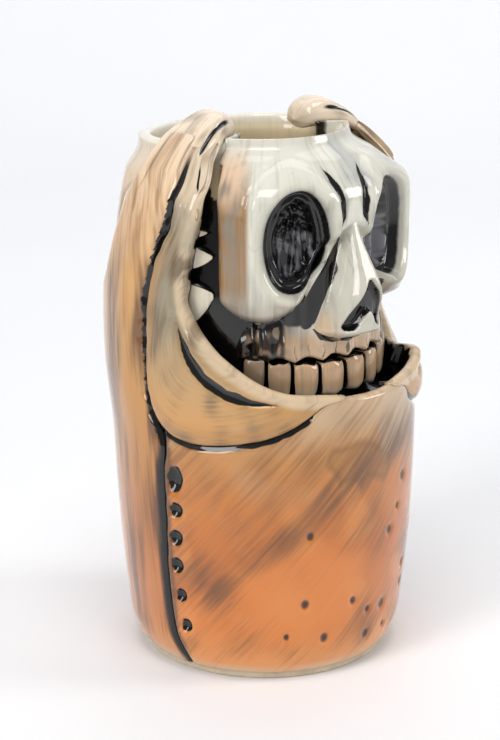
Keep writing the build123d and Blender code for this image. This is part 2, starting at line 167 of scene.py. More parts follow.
# height, radius of the forehead and cheeks
BROW = [
    (100, 43), (140, 43.2), (150, 43.2), (155, 42.6), (157.5, 41.0), (160, 38.2), (163, 34.4),
    (166, 30.6), (170, 25.6), (172, 23.5),
]
# angle, share of the forehead's radius that the face has there
FLAT = [
    (0, 0.93), (10, 0.94), (20, 0.965), (32, 0.995), (42, 1.015), (48.5, 1.02), (52, 1.005),
    (56, 0.975), (62, 0.942), (65.5, 0.925), (70, 0.9), (80, 0.86),
]
# height, half width of the nose and radius of its crest
NOSE_WIDTH = [(110, 13.5), (114, 13.0), (120, 11.0), (128, 8.2), (136, 5.4), (142, 3.4), (150, 2)]
NOSE_CREST = [
    (108, 36), (110.5, 40.5), (112, 45.0), (116, 47.2), (121, 48.6), (126, 48.9), (130, 47.6),
    (136, 44.6), (142, 41.6), (148, 39.5), (152, 38),
]
# lines brushed on the skull: points, width, seed, shares of the width at the ends, ink, depth
SKULL_LINES = [
    ([(5.6, 141), (9.5, 134.5), (14.2, 127.5), (18.8, 121.0), (22.6, 116)], 4.4, 53, (0.2, 1.0), 1, 0),
    ([(24.5, 124), (28.5, 119.4), (35, 115.9), (43.5, 114.4), (52, 114.7), (60, 116.6), (66.5, 121)],
     1.8, 54, (1, 1), 1, 0),
    ([(0, 109.4), (9, 109.8), (15.5, 111.0), (19, 113.5)], 2.0, 55, (1, 0.3), 1, 0),
    ([(13.5, 163.4), (9.8, 159.8), (7.0, 154.0), (6.4, 148.0), (8.4, 143.4)], 2.6, 56, (0, 0), 1, 0.5),
    ([(47, 157.2), (43.6, 162.3), (34.8, 165.0), (27, 165.5), (20, 163.4)], 0.8, 57, (0, 0), 0.42, 0),
]
# first and last angle, bottom and top of each tooth, and how dim it is in the mouth's shade
TEETH = [
    (0.5, 14.8, 91.2, 102.9, 0), (15.4, 28.8, 91.6, 103.2, 0.08),
    (29.4, 41.4, 92.4, 103.8, 0.4), (42.0, 53.0, 93.6, 104.8, 0.8),
]
# top, point and bottom of each fang, and how far forward its point reaches
FANGS = [(145.4, 143.6, 141.6, 69.0), (140.2, 136.2, 132.0, 66.4), (128.8, 124.6, 114.2, 66.0)]
# angle, height, half width and half height of each pit beside the seam
PITS = [
    (77.4, 67.0, 2.7, 4.1), (77.2, 56.6, 2.2, 2.4), (77.6, 47.4, 2.2, 2.4),
    (77.8, 38.0, 2.2, 2.4), (76.8, 27.8, 2.0, 2.2), (75.4, 17.4, 2.0, 2.2),
]
# angle, height of each small dark speck on the apron
SPECKS = [
    (25.0, 50.4), (26.3, 27.2), (33.4, 16.2), (17.4, 14.6), (4.8, 25.6), (-4.0, 20.7),
    (-13.6, 20.2), (-16.7, 12.2), (-4.4, 11.9), (-14.1, 45.8), (-19.5, 52.7), (-23.1, 62.0),
    (-30.4, 30.0), (-31.6, 22.9), (-40.0, 41.0), (-47.0, 58.0), (-52.0, 26.0),
]
# outlines of the patches of colour on the apron: angle, height
BRIGHT_PATCH = [(40, 16), (52, 38), (28, 46), (4, 40), (6, 22)]
DRIP = [
    (-6, 76), (4, 79), (16, 78), (19, 72), (15, 70), (13, 65), (8, 68), (4, 63), (0, 67),
    (-8, 64), (-12, 70),
]
PALE_PATCH = [(-4, 84), (-12, 92), (-30, 90), (-28, 82), (-16, 76), (-8, 72)]

# ---- Colours, linear ----

LINER = (0.72, 0.60, 0.38)
CLAY = (0.72, 0.60, 0.44)
# height, colour
ARM_TINT = [
    (3, (0.66, 0.46, 0.30)), (7, (0.66, 0.27, 0.085)), (22, (0.58, 0.20, 0.055)),
    (45, (0.52, 0.19, 0.055)), (75, (0.54, 0.25, 0.075)), (105, (0.56, 0.30, 0.105)),
    (130, (0.66, 0.37, 0.14)), (150, (0.80, 0.54, 0.32)), (166, (0.86, 0.66, 0.46)),
    (180, (0.88, 0.76, 0.60)),
]
FOLD_TINT = [
    (78, (0.58, 0.26, 0.065)), (88, (0.60, 0.31, 0.105)), (100, (0.52, 0.32, 0.14)),
    (115, (0.31, 0.22, 0.125)), (130, (0.27, 0.21, 0.13)), (145, (0.42, 0.33, 0.215)),
    (158, (0.70, 0.56, 0.40)), (170, (0.78, 0.64, 0.48)), (180, (0.80, 0.70, 0.56)),
]
APRON_TINT = [
    (3, (0.68, 0.48, 0.31)), (6, (0.74, 0.30, 0.09)), (18, (0.68, 0.21, 0.042)),
    (42, (0.57, 0.165, 0.03)), (62, (0.57, 0.19, 0.036)), (76, (0.56, 0.25, 0.07)),
    (86, (0.58, 0.38, 0.21)), (93, (0.62, 0.46, 0.30)), (100, (0.70, 0.54, 0.38)),
]

# ---- Number helpers ----


def curve(table, x, column=1):
    """A smooth line through the rows of a table, held level beyond its ends."""
    rows = sorted(table, key=lambda row: row[0])
    xs = np.array([row[0] for row in rows], float)
    ys = np.array([row[column] for row in rows], float)
    return through(xs, ys, x)


def through(xs, ys, x):
    """Cubic pieces through the points (xs, ys)."""
    slopes = np.gradient(ys, xs)
    x = np.clip(x, xs[0], xs[-1])
    i = np.clip(np.searchsorted(xs, x) - 1, 0, len(xs) - 2)
    span = xs[i + 1] - xs[i]
    t = (x - xs[i]) / span
    return hermite(t, ys[i], ys[i + 1], span * slopes[i], span * slopes[i + 1])


def hermite(t, start, end, leaving, arriving):
    """A cubic from one value to the next, with its slopes at the two ends."""
    value = start * (2 * t**3 - 3 * t**2 + 1) + end * (3 * t**2 - 2 * t**3)
    return value + leaving * (t**3 - 2 * t**2 + t) + arriving * (t**3 - t**2)


def tinted(table, z):
    """Colour at each height, as an (n, 3) array."""
    xs = [row[0] for row in table]
    return np.stack([np.interp(z, xs, [row[1][c] for row in table]) for c in range(3)], -1)


def smooth(low, high, x):
    t = np.clip((x - low) / (high - low), 0, 1)
    return t * t * (3 - 2 * t)


def mix(a, b, t):
    return a + (b - a) * t


def bell(distance, width):
    """1 at no distance, falling to 0 a few widths away."""
    return np.exp(-((distance / width) ** 2))


def toned(tint, *tones):
    """Colours moved towards each (colour, amount) in turn."""
    for colour, amount in tones:
        tint = mix(tint, np.array(colour), amount[:, None])
    return tint


def inked(ink, *lines):
    """Black that is as strong as the strongest of its lines."""
    for line in lines:
        ink = np.maximum(ink, line)
    return ink


def split_at(share, border):
    """Shares of the way through what is before a border and through what is beyond it."""
    return np.clip(share / border, 0, 1), np.clip((share - border) / (1 - border), 0, 1)


def unit(vectors):
    return vectors / np.maximum(np.linalg.norm(vectors, axis=1), 1e-6)[:, None]


def waves(x, y, size, seed):
    """Soft seeded unevenness between about -1 and 1."""
    random = np.random.default_rng(seed)
    total = np.zeros(np.shape(x))
    for _ in range(7):
        turn, phase = random.uniform(0, 2 * np.pi, 2)
        reach = size * random.uniform(0.6, 1.7)
        total = total + np.sin((x * np.cos(turn) + y * np.sin(turn)) / reach * 2 * np.pi + phase)
    return total / 3.0


def near(points, x, y):
    """Distance to a line of points, and how far along it that is, from 0 to 1."""
    points = np.array(points, float)
    lengths = np.hypot(*np.diff(points, axis=0).T)
    ends = np.concatenate([[0], np.cumsum(lengths)])
    best = np.full(np.shape(x), 1e9)
    where = np.zeros(np.shape(x))
    for k, length in enumerate(lengths):
        (ax, ay), (bx, by) = points[k], points[k + 1]
        t = np.clip(((x - ax) * (bx - ax) + (y - ay) * (by - ay)) / length**2, 0, 1)
        d = np.hypot(x - ax - t * (bx - ax), y - ay - t * (by - ay))
        closer = d < best
        best = np.where(closer, d, best)
        where = np.where(closer, (ends[k] + t * length) / ends[-1], where)
    return best, where


def depth_in(points, x, y):
    """Distance inside a closed outline, below zero outside it."""
    ring = [*points, points[0]]
    inside = np.zeros(np.shape(x), bool)
    for (ax, ay), (bx, by) in zip(ring, ring[1:]):
        if ay != by:
            crosses = (ay > y) != (by > y)
            inside ^= crosses & (x < (bx - ax) * (y - ay) / (by - ay) + ax)
    distance, _ = near(ring, x, y)
    return np.where(inside, distance, -distance)


def rounded(points, rounds=2):
    """The same closed outline with its corners cut, that many rounds of it."""
    for _ in range(rounds):
        cut = []
        for p, q in zip(points, [*points[1:], points[0]]):
            cut.append((0.75 * p[0] + 0.25 * q[0], 0.75 * p[1] + 0.25 * q[1]))
            cut.append((0.25 * p[0] + 0.75 * q[0], 0.25 * p[1] + 0.75 * q[1]))
        points = cut
    return points


def stroke(points, x, y, width, seed, ends=(0.0, 0.0)):
    """A brushed line: 1 on it, 0 off it. Its ends taper to those shares of the width."""
    d, t = near(points, x, y)
    taper = mix(ends[0], 1, smooth(0, 0.35, t)) * mix(ends[1], 1, smooth(1, 0.65, t))
    reach = width / 2 * taper * (1 + 0.10 * waves(x, y, 5, seed))
    return smooth(reach + 0.35, reach - 0.35, d) * (taper > 0.02), d

# ---- Mesh helpers ----


def only(piece):
    bpy.ops.object.select_all(action="DESELECT")
    piece.select_set(True)
    bpy.context.view_layer.objects.active = piece


def apply_modifier(piece, kind, **settings):
    only(piece)
    modifier = piece.modifiers.new(kind.title(), kind)
    for name, value in settings.items():
        setattr(modifier, name, value)
    bpy.ops.object.modifier_apply(modifier=modifier.name)


def edit(piece, *steps):
    """Runs mesh operators on the whole piece in edit mode."""
    only(piece)
    bpy.ops.object.mode_set(mode="EDIT")
    bpy.ops.mesh.select_all(action="SELECT")
    for operator, settings in steps:
        operator(**settings)
    bpy.ops.object.mode_set(mode="OBJECT")


def corners(piece):
    co = np.empty(len(piece.data.vertices) * 3)
    piece.data.vertices.foreach_get("co", co)
    return co.reshape(-1, 3)


def set_corners(piece, points):
    """Moves a mesh's corners to points in millimetres."""
    piece.data.vertices.foreach_set("co", (points * MM).ravel())


def paint(piece, tint, ink, wash, grain):
    """Stores what the glaze reads: colour, black line, brown wash and brush direction."""
    data = piece.data
    colour = data.attributes.new("tint", "FLOAT_COLOR", "POINT")
    colour.data.foreach_set("color", np.column_stack([tint, np.ones(len(tint))]).ravel())
    for name, values in (("ink", ink), ("wash", wash)):
        data.attributes.new(name, "FLOAT", "POINT").data.foreach_set("value", values)
    brush = data.attributes.new("grain", "FLOAT_VECTOR", "POINT")
    brush.data.foreach_set("vector", grain.ravel())


def smooth_shaded(piece):
    only(piece)
    bpy.ops.object.shade_smooth()
    return piece


def named(name):
    """The object that an operator has just added, with its name."""
    piece = bpy.context.object
    piece.name = piece.data.name = name
    return piece


def grid(name, across, along, place, mirrored=False, thickness=None, weld=False):
    """A sheet of across x along cells; place(u, v) gives its points and its paint.

    The sheet is as thick as the form's skin unless it is told otherwise, in metres.
    """
    bpy.ops.object.select_all(action="DESELECT")
    bpy.ops.mesh.primitive_grid_add(x_subdivisions=across, y_subdivisions=along, size=1)
    piece = named(name)
    co = corners(piece)
    points, tint, ink, wash, grain = place(co[:, 0] + 0.5, co[:, 1] + 0.5)
    if mirrored:
        points = points * (-1, 1, 1)
    set_corners(piece, points)
    paint(piece, tint, ink, wash, grain)
    steps = [(bpy.ops.mesh.flip_normals, {})] if mirrored else []
    if weld:
        steps.append((bpy.ops.mesh.remove_doubles, {"threshold": 0.02 * MM}))
    if steps:
        edit(piece, *steps)
    if thickness is None:
        thickness = bpy.context.scene.mug_form.skin
    if thickness:
        apply_modifier(piece, "SOLIDIFY", thickness=thickness, offset=-1.0)
    return smooth_shaded(piece)


def lump(name, cuts, power):
    """A cube cut into cells and rounded off, and its points."""
    bpy.ops.object.select_all(action="DESELECT")
    bpy.ops.mesh.primitive_cube_add(size=2)
    piece = named(name)
    edit(piece, (bpy.ops.mesh.subdivide, {"number_cuts": cuts}))
    co = corners(piece)
    return piece, co / (np.sum(np.abs(co) ** power, 1) ** (1 / power))[:, None]


def finish_lump(piece, points, *painted):
    """Puts a lump in its place, with its paint and its normals outwards."""
    set_corners(piece, points)
    paint(piece, *painted)
    smooth_shaded(piece)
    edit(piece, (bpy.ops.mesh.normals_make_consistent, {"inside": False}))


def ring_point(radius, angle, z):
    """Points at a radius from the axis and an angle round from the front."""
    turn = np.radians(angle)
    return np.stack([-radius * np.sin(turn), -radius * np.cos(turn), z + 0 * radius], -1)


def finish_piece(piece, nodes, slot):
    """Gives a piece the glaze named after its slot, hangs it under the body and hides the frame's nodes
    that it stands for.
    """
    piece.data.materials.clear()
    piece.data.materials.append(glaze(slot.replace("_", " ")))
    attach(piece, BODY)
    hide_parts(*nodes)

# ---- Shader helpers ----


class Value:
    """A number in a material; adding, multiplying and so on add the nodes for it."""

    def __init__(self, tree, socket):
        self.tree, self.socket = tree, socket

    def math(self, operation, *others):
        values = [self.socket, *(getattr(o, "socket", o) for o in others)]
        node = self.tree.node("ShaderNodeMath", {"operation": operation}, dict(enumerate(values)))
        return Value(self.tree, node.outputs[0])

    def __add__(self, other):
        return self.math("ADD", other)

    def __mul__(self, other):
        return self.math("MULTIPLY", other)

    def __sub__(self, other):
        return self.math("SUBTRACT", other)

    def __rsub__(self, other):
        return self * -1 + other

    __radd__, __rmul__ = __add__, __mul__

    def step(self, low, high):
        """0 below low and 1 above high, smoothly."""
        node = self.tree.node(
            "ShaderNodeMapRange", {"interpolation_type": "SMOOTHSTEP"},
            {0: self.socket, 1: low, 2: high},
        )
        return Value(self.tree, node.outputs[0])


class Glaze:
    """A material whose nodes are added through one method."""

    def __init__(self, name):
        self.material = bpy.data.materials.new(name)
        self.material.use_nodes = True
        self.tree = self.material.node_tree
        self.tree.nodes.clear()
        self.output = self.node("ShaderNodeOutputMaterial")
        self.surface = self.node("ShaderNodeBsdfPrincipled")
        self.link(self.surface.outputs[0], self.output.inputs[0])

    def node(self, kind, settings=None, values=None):
        node = self.tree.nodes.new(kind)
        for name, value in (settings or {}).items():
            setattr(node, name, value)
        for key, value in (values or {}).items():
            self.set(node.inputs[key], value)
        return node

    def link(self, source, target):
        self.tree.links.new(source, target)

    def set(self, target, value):
        value = getattr(value, "socket", value)
        if isinstance(value, bpy.types.NodeSocket):
            self.link(value, target)
        else:
            target.default_value = value

    def put(self, **values):
        for name, value in values.items():
            self.set(self.surface.inputs[name.replace("_", " ")], value)

    def read(self, name, output):
        """One output of a mesh attribute: 0 its colour, 1 its vector, 2 its value."""
        return self.node("ShaderNodeAttribute", {"attribute_name": name}).outputs[output]

    def number(self, name):
        return Value(self, self.read(name, 2))

    def noise(self, where, size, detail=3.0, stretch=(1, 1, 1), offset=(0, 0, 0), warp=0.0):
        """Noise from 0 to 1 with features about that many millimetres wide."""
        scale = [s / size for s in stretch]
        mapped = self.node("ShaderNodeMapping", {}, {0: where, 1: offset, 3: scale})
        node = self.node("ShaderNodeTexNoise", {},
                         {"Vector": mapped.outputs[0], "Scale": 1.0, "Detail": detail,
                          "Distortion": warp})
        return Value(self, node.outputs[0])

    def mix(self, a, b, amount):
        node = self.node("ShaderNodeMix", {"data_type": "RGBA"}, {0: amount})
        self.set(node.inputs[6], a)
        self.set(node.inputs[7], b)
        return node.outputs[2]

    def bump(self, height, distance):
        node = self.node("ShaderNodeBump", {}, {"Strength": 1.0, "Distance": distance,
                                                "Height": height})
        return node.outputs[0]


def object_mm(glaze):
    """Object coordinates in millimetres."""
    source = glaze.node("ShaderNodeTexCoord").outputs["Object"]
    node = glaze.node("ShaderNodeVectorMath", {"operation": "SCALE"}, {0: source, 3: 1000.0})
    return node.outputs[0]


def make_glaze(name, dark, light, strokes, gloss, stain=0.0):
    """Clear glaze over brushed colour: dark and light strokes, brown wash and black lines."""
    g = Glaze(name)
    grain = g.read("grain", 1)
    place = object_mm(g)
    tint = g.read("tint", 0)
    wash = g.number("wash")
    ink = g.number("ink")

    coarse = g.noise(grain, 6.0, 5.0, (1, 0.11, 1), warp=0.35)
    fine = g.noise(grain, 1.3, 4.0, (1, 0.05, 1), (7, 3, 1))
    cloud = g.noise(place, 22.0, 3.0)
    patch = g.noise(place, 7.0, 3.0, offset=(3, 9, 4), warp=0.8)

    pale = (coarse * 0.6 + fine * 0.5 + cloud * 0.3).step(0.66, 0.92) * strokes
    base = g.mix(tint, light, pale * 0.5)
    body = (coarse * 0.8 + cloud * 0.25 + fine * 0.85 - 0.98 + wash * 0.42).step(-0.06, 0.50)
    base = g.mix(base, dark, (body * (wash * 0.5 + 0.42)).math("MINIMUM", 0.86))
    if stain:
        smudge = (patch * 0.8 + fine * 0.35).step(0.62, 0.86) * stain
        base = g.mix(base, (0.16, 0.145, 0.12, 1), smudge)
    hair = g.noise(grain, 0.55, 2.0, (1, 0.03, 1), (5, 1, 8)).step(0.56, 0.74)
    hair = hair * cloud.step(0.35, 0.6)
    base = g.mix(base, dark, hair * (wash * 0.45 + 0.12))
    rough_edge = ink + (fine - 0.5) * 0.38 * ink + (patch - 0.5) * 0.25 * ink
    line = rough_edge.step(0.30, 0.72)
    base = g.mix(base, (0.0045, 0.004, 0.0038, 1), line)

    g.put(Base_Color=base, Roughness=0.45 - line * 0.2, Specular_IOR_Level=0.1, Coat_Weight=gloss,
          Coat_Roughness=0.035, Coat_IOR=1.52)
    ripple = g.noise(place, 13.0, 2.0) * 0.5 + g.noise(place, 3.2, 2.0) * 0.06 + fine * 0.02
    g.put(Normal=g.bump(ripple, 0.00055))
    return g.material


def make_plain(name, colour, mottle, roughness, coat):
    """One colour with faint clouds in it."""
    g = Glaze(name)
    place = object_mm(g)
    cloud = g.noise(place, 9.0, 4.0).step(0.35, 0.7)
    speck = g.noise(place, 0.8, 2.0).step(0.62, 0.72)
    base = g.mix((*colour, 1), (*[c * mottle for c in colour], 1), cloud)
    base = g.mix(base, (*[c * 0.55 for c in colour], 1), speck * 0.35)
    g.put(Base_Color=base, Roughness=roughness, Coat_Weight=coat, Coat_Roughness=0.04)
    g.put(Normal=g.bump(g.noise(place, 1.2, 3.0), 0.00008))
    return g.material

# ---- Surfaces of the body ----


def barrel(angle, z):
    """Radius of the plain body, a little squarer behind."""
    m = np.abs(angle)
    square = 0.03 * smooth(60, 150, z) * smooth(95, 125, m) * np.cos(np.radians(4 * (m - 135)))
    return curve(BARREL, z) * (1 + square)


def seam_angle(z):
    return curve(SEAM, z)


def back_angle(z):
    """Where the arm ends and the back begins."""
    return mix(132.0, curve(REAR, z), smooth(112, 128, z))


def seam_groove(distance, z):
    """Depth and ink of the seam at a distance from it."""
    rough = 1 + 0.35 * waves(z, z * 0, 4.0, 11)
    upper = smooth(70, 84, z)
    width = mix(0.78, 1.25 * rough, upper)
    depth = mix(0.7, 1.6, upper) * bell(distance, width * 1.2)
    return depth, smooth(width * 1.75, width * 0.75, distance)


def arm_surface(angle, z):
    """Radius and ink of the arm's skin, and how far it is from the seam and the rear edge."""
    m = np.abs(angle)
    seam, rear = seam_angle(z), curve(REAR, z)
    high = smooth(112, 126, z)
    start, end = mix(132, rear - 12, high), mix(166, rear, high)
    rise = curve(ARM_RISE, z) * np.sqrt(smooth(0, 13, (m - seam) * DEG) + 1e-9)
    rise = rise * (1 - smooth(start, end, m))
    distance = np.abs(m - seam) * DEG
    depth, seam_ink = seam_groove(distance, z)
    behind = np.abs(m - rear) * DEG
    groove = 0.9 * bell(behind, 1.4) * smooth(120, 130, z)
    ragged = 1.9 + 0.35 * waves(z, z * 0, 9.0, 12) + 0.45 * waves(z, distance * 0.8, 1.5, 13)
    ink = inked(
        seam_ink,
        smooth(ragged + 0.7, ragged - 0.5, distance) * smooth(72, 84, z),
        0.68 * smooth(6.5, 1.2, distance) * smooth(84, 70, z),
    )
    return barrel(angle, z) + rise - depth - groove, ink, distance, behind


def brushed(angle, z, lean):
    """Brush coordinates in millimetres: across the strokes, then along them."""
    x = np.asarray(angle) * -DEG
    turn = np.radians(lean)
    across = x * np.cos(turn) - z * np.sin(turn)
    along = x * np.sin(turn) + z * np.cos(turn)
    return np.stack([across, along, 0 * along], -1)


def place_arm(u, v):
    """The arm's sheet, left side."""
    run, s, rise = split_rise(v, TOP_START - SKIN_FOOT)
    z = np.minimum(np.where(s > 0, rise, SKIN_FOOT + run), 162.0)
    angle = mix(back_angle(z), seam_angle(z), u)
    radius, ink, distance, behind = arm_surface(angle, z)
    phi = mix(-1.0, SEAM_PHI, u)
    depth, seam_ink = seam_groove((1 - u) * 22.0, 150 + 0 * z)
    hatch = smooth(0.35, 0.9, waves(z, distance * 0.4, 1.6, 5)) * smooth(4.5, 1.0, distance)
    hatch = hatch * smooth(84, 92, z) * smooth(150, 135, z)
    grey = smooth(3.5, 0.2, behind) * smooth(122, 132, z)
    tint = toned(
        tinted(ARM_TINT, z),
        ((0.74, 0.50, 0.30), smooth(9, 22, distance) * smooth(95, 150, z) * 0.5),
        ((0.62, 0.24, 0.08), smooth(14, 34, distance) * smooth(85, 55, z) * 0.65),
        ((0.40, 0.37, 0.30), grey * 0.8),
    )
    wash = 0.58 + 0.35 * waves(angle * DEG, z * 0.3, 16, 3)
    wash = wash + 0.3 * waves(angle * DEG, z * 0.15, 6, 71)
    wash = wash + 0.55 * smooth(6, 1, distance) - 0.15 * smooth(10, 25, distance)
    wash = wash * smooth(4, 14, z) * (1 - 0.45 * smooth(120, 150, z))
    points, crease_ink = join_limb(ring_point(radius, angle, z), phi, s, z)
    raised = smooth(150, 160, z)
    inward = np.stack([0.8 + 0 * z, 0 * z, -0.6 + 0 * z], -1)
    points = points + inward * (depth * raised)[:, None]
    tint = mix(tint, limb_tint(phi, s), raised[:, None])
    ink = mix(inked(ink, 0.55 * hatch), seam_ink * smooth(0.62, 0.30, s), raised)
    flow = brushed(angle, z, -4)
    flow[:, 1] += s * 60
    return points, tint, inked(ink, crease_ink), wash, flow


def place_back(u, v):
    """The shell round the back, between the two arms."""
    z = mix(SKIN_FOOT, 167.2, v)
    angle = mix(360 - back_angle(z), back_angle(z), u)
    m = np.where(angle > 180, 360 - angle, angle)
    radius, ink, _, behind = arm_surface(m, z)
    radius = mix(radius, curve(RIM, m) + 0.15, smooth(157, 167, z))
    centre = smooth(140, 176, m)
    grey = smooth(4.0, 0.2, behind) * smooth(122, 132, z)
    tint = toned(
        tinted(ARM_TINT, z),
        ((0.74, 0.50, 0.30), smooth(95, 150, z) * 0.5),
        ((0.62, 0.24, 0.08), smooth(85, 55, z) * 0.65),
        ((0.62, 0.34, 0.15), centre * smooth(30, 70, z) * smooth(150, 110, z) * 0.7),
        ((0.76, 0.68, 0.56), smooth(150, 166, z) * 0.8),
        ((0.36, 0.33, 0.27), grey * 0.8),
    )
    middle = waves(angle * DEG, z * 0.3, 20, 8)
    wash = 0.43 + 0.35 * mix(waves(m * DEG, z * 0.3, 16, 3), middle, smooth(134, 156, m))
    wash = wash + 0.3 * waves(m * DEG, z * 0.15, 6, 71)
    wash = wash * smooth(4, 14, z) * (1 - 0.45 * smooth(120, 150, z))
    wash = wash * (1 - 0.4 * smooth(150, 164, z))
    return ring_point(radius, angle, z), tint, ink * 0, wash, brushed(m, z, -4)


def apron_marks(radius, angle, z, m, x):
    """The column of pits beside the seam and the scattered specks: new radius, and ink."""
    ink = 0 * z
    for pit_angle, pit_z, half_width, half_height in PITS:
        reach = np.hypot((m - pit_angle) * DEG / half_width, (z - pit_z) / half_height) / 1.22
        radius = radius - 1.5 * smooth(1.1, 0.35, reach) + 0.25 * bell(reach - 1.35, 0.25)
        ink = inked(ink, smooth(1.02, 0.72, reach + 0.1 * waves(x, z, 2.2, 4)))
    for number, (speck_angle, speck_z) in enumerate(SPECKS):
        size = 2.05 + 0.45 * np.sin(number * 2.4)
        reach = np.hypot((angle - speck_angle) * DEG, (z - speck_z) * 0.85) / size
        radius = radius - 0.7 * smooth(1.2, 0.2, reach)
        ink = inked(ink, 0.66 * smooth(1.2, 0.3, reach))
    return radius, ink


def place_apron(u, v):
    """The front of the body below the fold, with the lip rolled in at its middle."""
    share, roll = split_at(v, 0.93)
    side = 1 - 2 * u
    angle = side * 83.0
    for _ in range(6):
        top = curve(APRON_TOP, np.abs(angle))
        z = mix(SKIN_FOOT, top, share)
        angle = side * seam_angle(z)
    m = np.abs(angle)
    x, distance = angle * -DEG, (seam_angle(z) - m) * DEG
    depth, ink = seam_groove(distance, z)
    below = (top - z) * smooth(12, 26, m) + 40 * (1 - smooth(12, 26, m))
    radius = barrel(angle, z) - depth - 0.9 * bell(below, 1.1)
    radius = radius + 0.9 * smooth(9, 1.5, top - z) * (1 - smooth(14, 30, m))
    radius, marks = apron_marks(radius, angle, z, m, x)
    ink = inked(ink, smooth(1.7, 0.7, below + 0.12 * waves(x, z, 4, 2)), marks)

    bright = smooth(-8, 4, depth_in(BRIGHT_PATCH, angle, z))
    drip = depth_in(DRIP, angle + 1.5 * waves(x, z, 7, 35), z)
    pale = depth_in(PALE_PATCH, angle, z)
    tint = toned(
        tinted(APRON_TINT, z),
        ((0.50, 0.33, 0.18), smooth(0.2, 0.9, waves(x, z * 0.8, 26, 21)) * smooth(50, 84, z) * 0.7),
        ((0.80, 0.33, 0.09), smooth(0.1, 0.9, waves(x, z, 30, 33)) * 0.35 * smooth(80, 60, z)),
        ((0.28, 0.13, 0.035), smooth(-2.0, 1.0, drip) * mix(0.45, 0.8, smooth(2.5, 0.5, drip))),
        ((0.52, 0.40, 0.27), smooth(-3.0, 2.0, pale) * 0.7),
        ((0.78, 0.25, 0.055), bright * 0.7),
    )
    streak = bell(z - mix(30, 76, smooth(78, -20, angle)), 8) * smooth(80, 66, m)
    wash = 0.30 + 0.20 * waves(x, z * 0.8, 22, 14) + 0.62 * streak - 0.5 * bright
    wash = wash + 0.5 * smooth(60, 30, z) * smooth(0, -35, angle) * (0.6 + 0.5 * waves(x * 0.4, z, 9, 6))
    wash = wash + 1.1 * smooth(4.2, 0.6, distance) * smooth(88, 76, z)
    wash = wash * smooth(4, 12, z) * (1 - 0.5 * smooth(84, 92, z))
    swing = np.pi * np.clip(roll * 2, 0, 1)
    fall = np.clip(roll * 2 - 1, 0, 1)
    radius = radius - 2.1 * (1 - np.cos(swing)) - 1.6 * fall
    height = z + 1.1 * np.sin(swing) - 7.0 * fall
    ink = inked(ink * (1 - roll), smooth(0.45, 0.72, roll + 0.05 * waves(x, z, 5, 9)))
    return ring_point(radius, angle, height), tint, ink, wash, brushed(angle, z, 42)


def fold_rows():
    """The fold's outer and inner edges by distance along them."""
    rows = np.array(FOLD, float)
    middle = np.stack([(rows[:, 0] + rows[:, 2]) / 2 * DEG, (rows[:, 1] + rows[:, 3]) / 2], -1)
    lengths = np.hypot(*np.diff(middle, axis=0).T)
    return np.concatenate([[0], np.cumsum(lengths)]) / lengths.sum(), rows


def fold_surface(share, v, drawn_back=0.0):
    """Angle, height and radius of the fold's face at a share from its outer to inner edge."""
    stations, rows = fold_rows()
    last = len(rows) - 4
    run, s, rise = split_rise(v, RIBBON * stations[last])
    upper_station = np.interp(rise, [TOP_START, 151.3, 159.5, 166.3], stations[last:])
    v = np.where(s > 0, upper_station, run / RIBBON)
    ends = [through(stations, rows[:, c], v) for c in range(4)]
    opened = drawn_back * smooth(42, 58, ends[2]) * smooth(141, 122, ends[3])
    ends[2], ends[3] = ends[2] + opened, ends[3] - opened
    angle = mix(ends[0], ends[2], share)
    z = mix(ends[1], ends[3], share)
    width = np.hypot((ends[0] - ends[2]) * DEG, ends[1] - ends[3])
    out = share * width
    upper = smooth(84, 92, ends[1]) * smooth(60, 80, ends[0])
    depth, ink = seam_groove(out, z)
    line = smooth(1.25, 0.5, out + 0.12 * waves(angle, z, 4, 2)) * smooth(0.0, 0.05, v)
    rise = 2.3 * np.sqrt(smooth(0, mix(7.0, 4.0, upper), out) + 1e-9)
    rise = rise * smooth(0.0, 0.22, v) * mix(1.0, 0.75, smooth(130, 160, z))
    edge = (1 - share) * width
    rise = rise - 1.2 * smooth(5.0, 0, edge) * smooth(0.1, 0.3, v) * smooth(0.95, 0.7, v)
    lip = 0.9 * (1 - smooth(14, 30, angle)) * smooth(9, 1.5, curve(APRON_TOP, angle) + 1.5 - z)
    groove = mix(0.9 * bell(out, 0.9), depth, upper)
    radius = barrel(angle, z) + rise - groove + lip - 0.55 * opened * share**2
    return angle, z, radius, mix(line, ink, upper), out, edge, width, ends, v, s


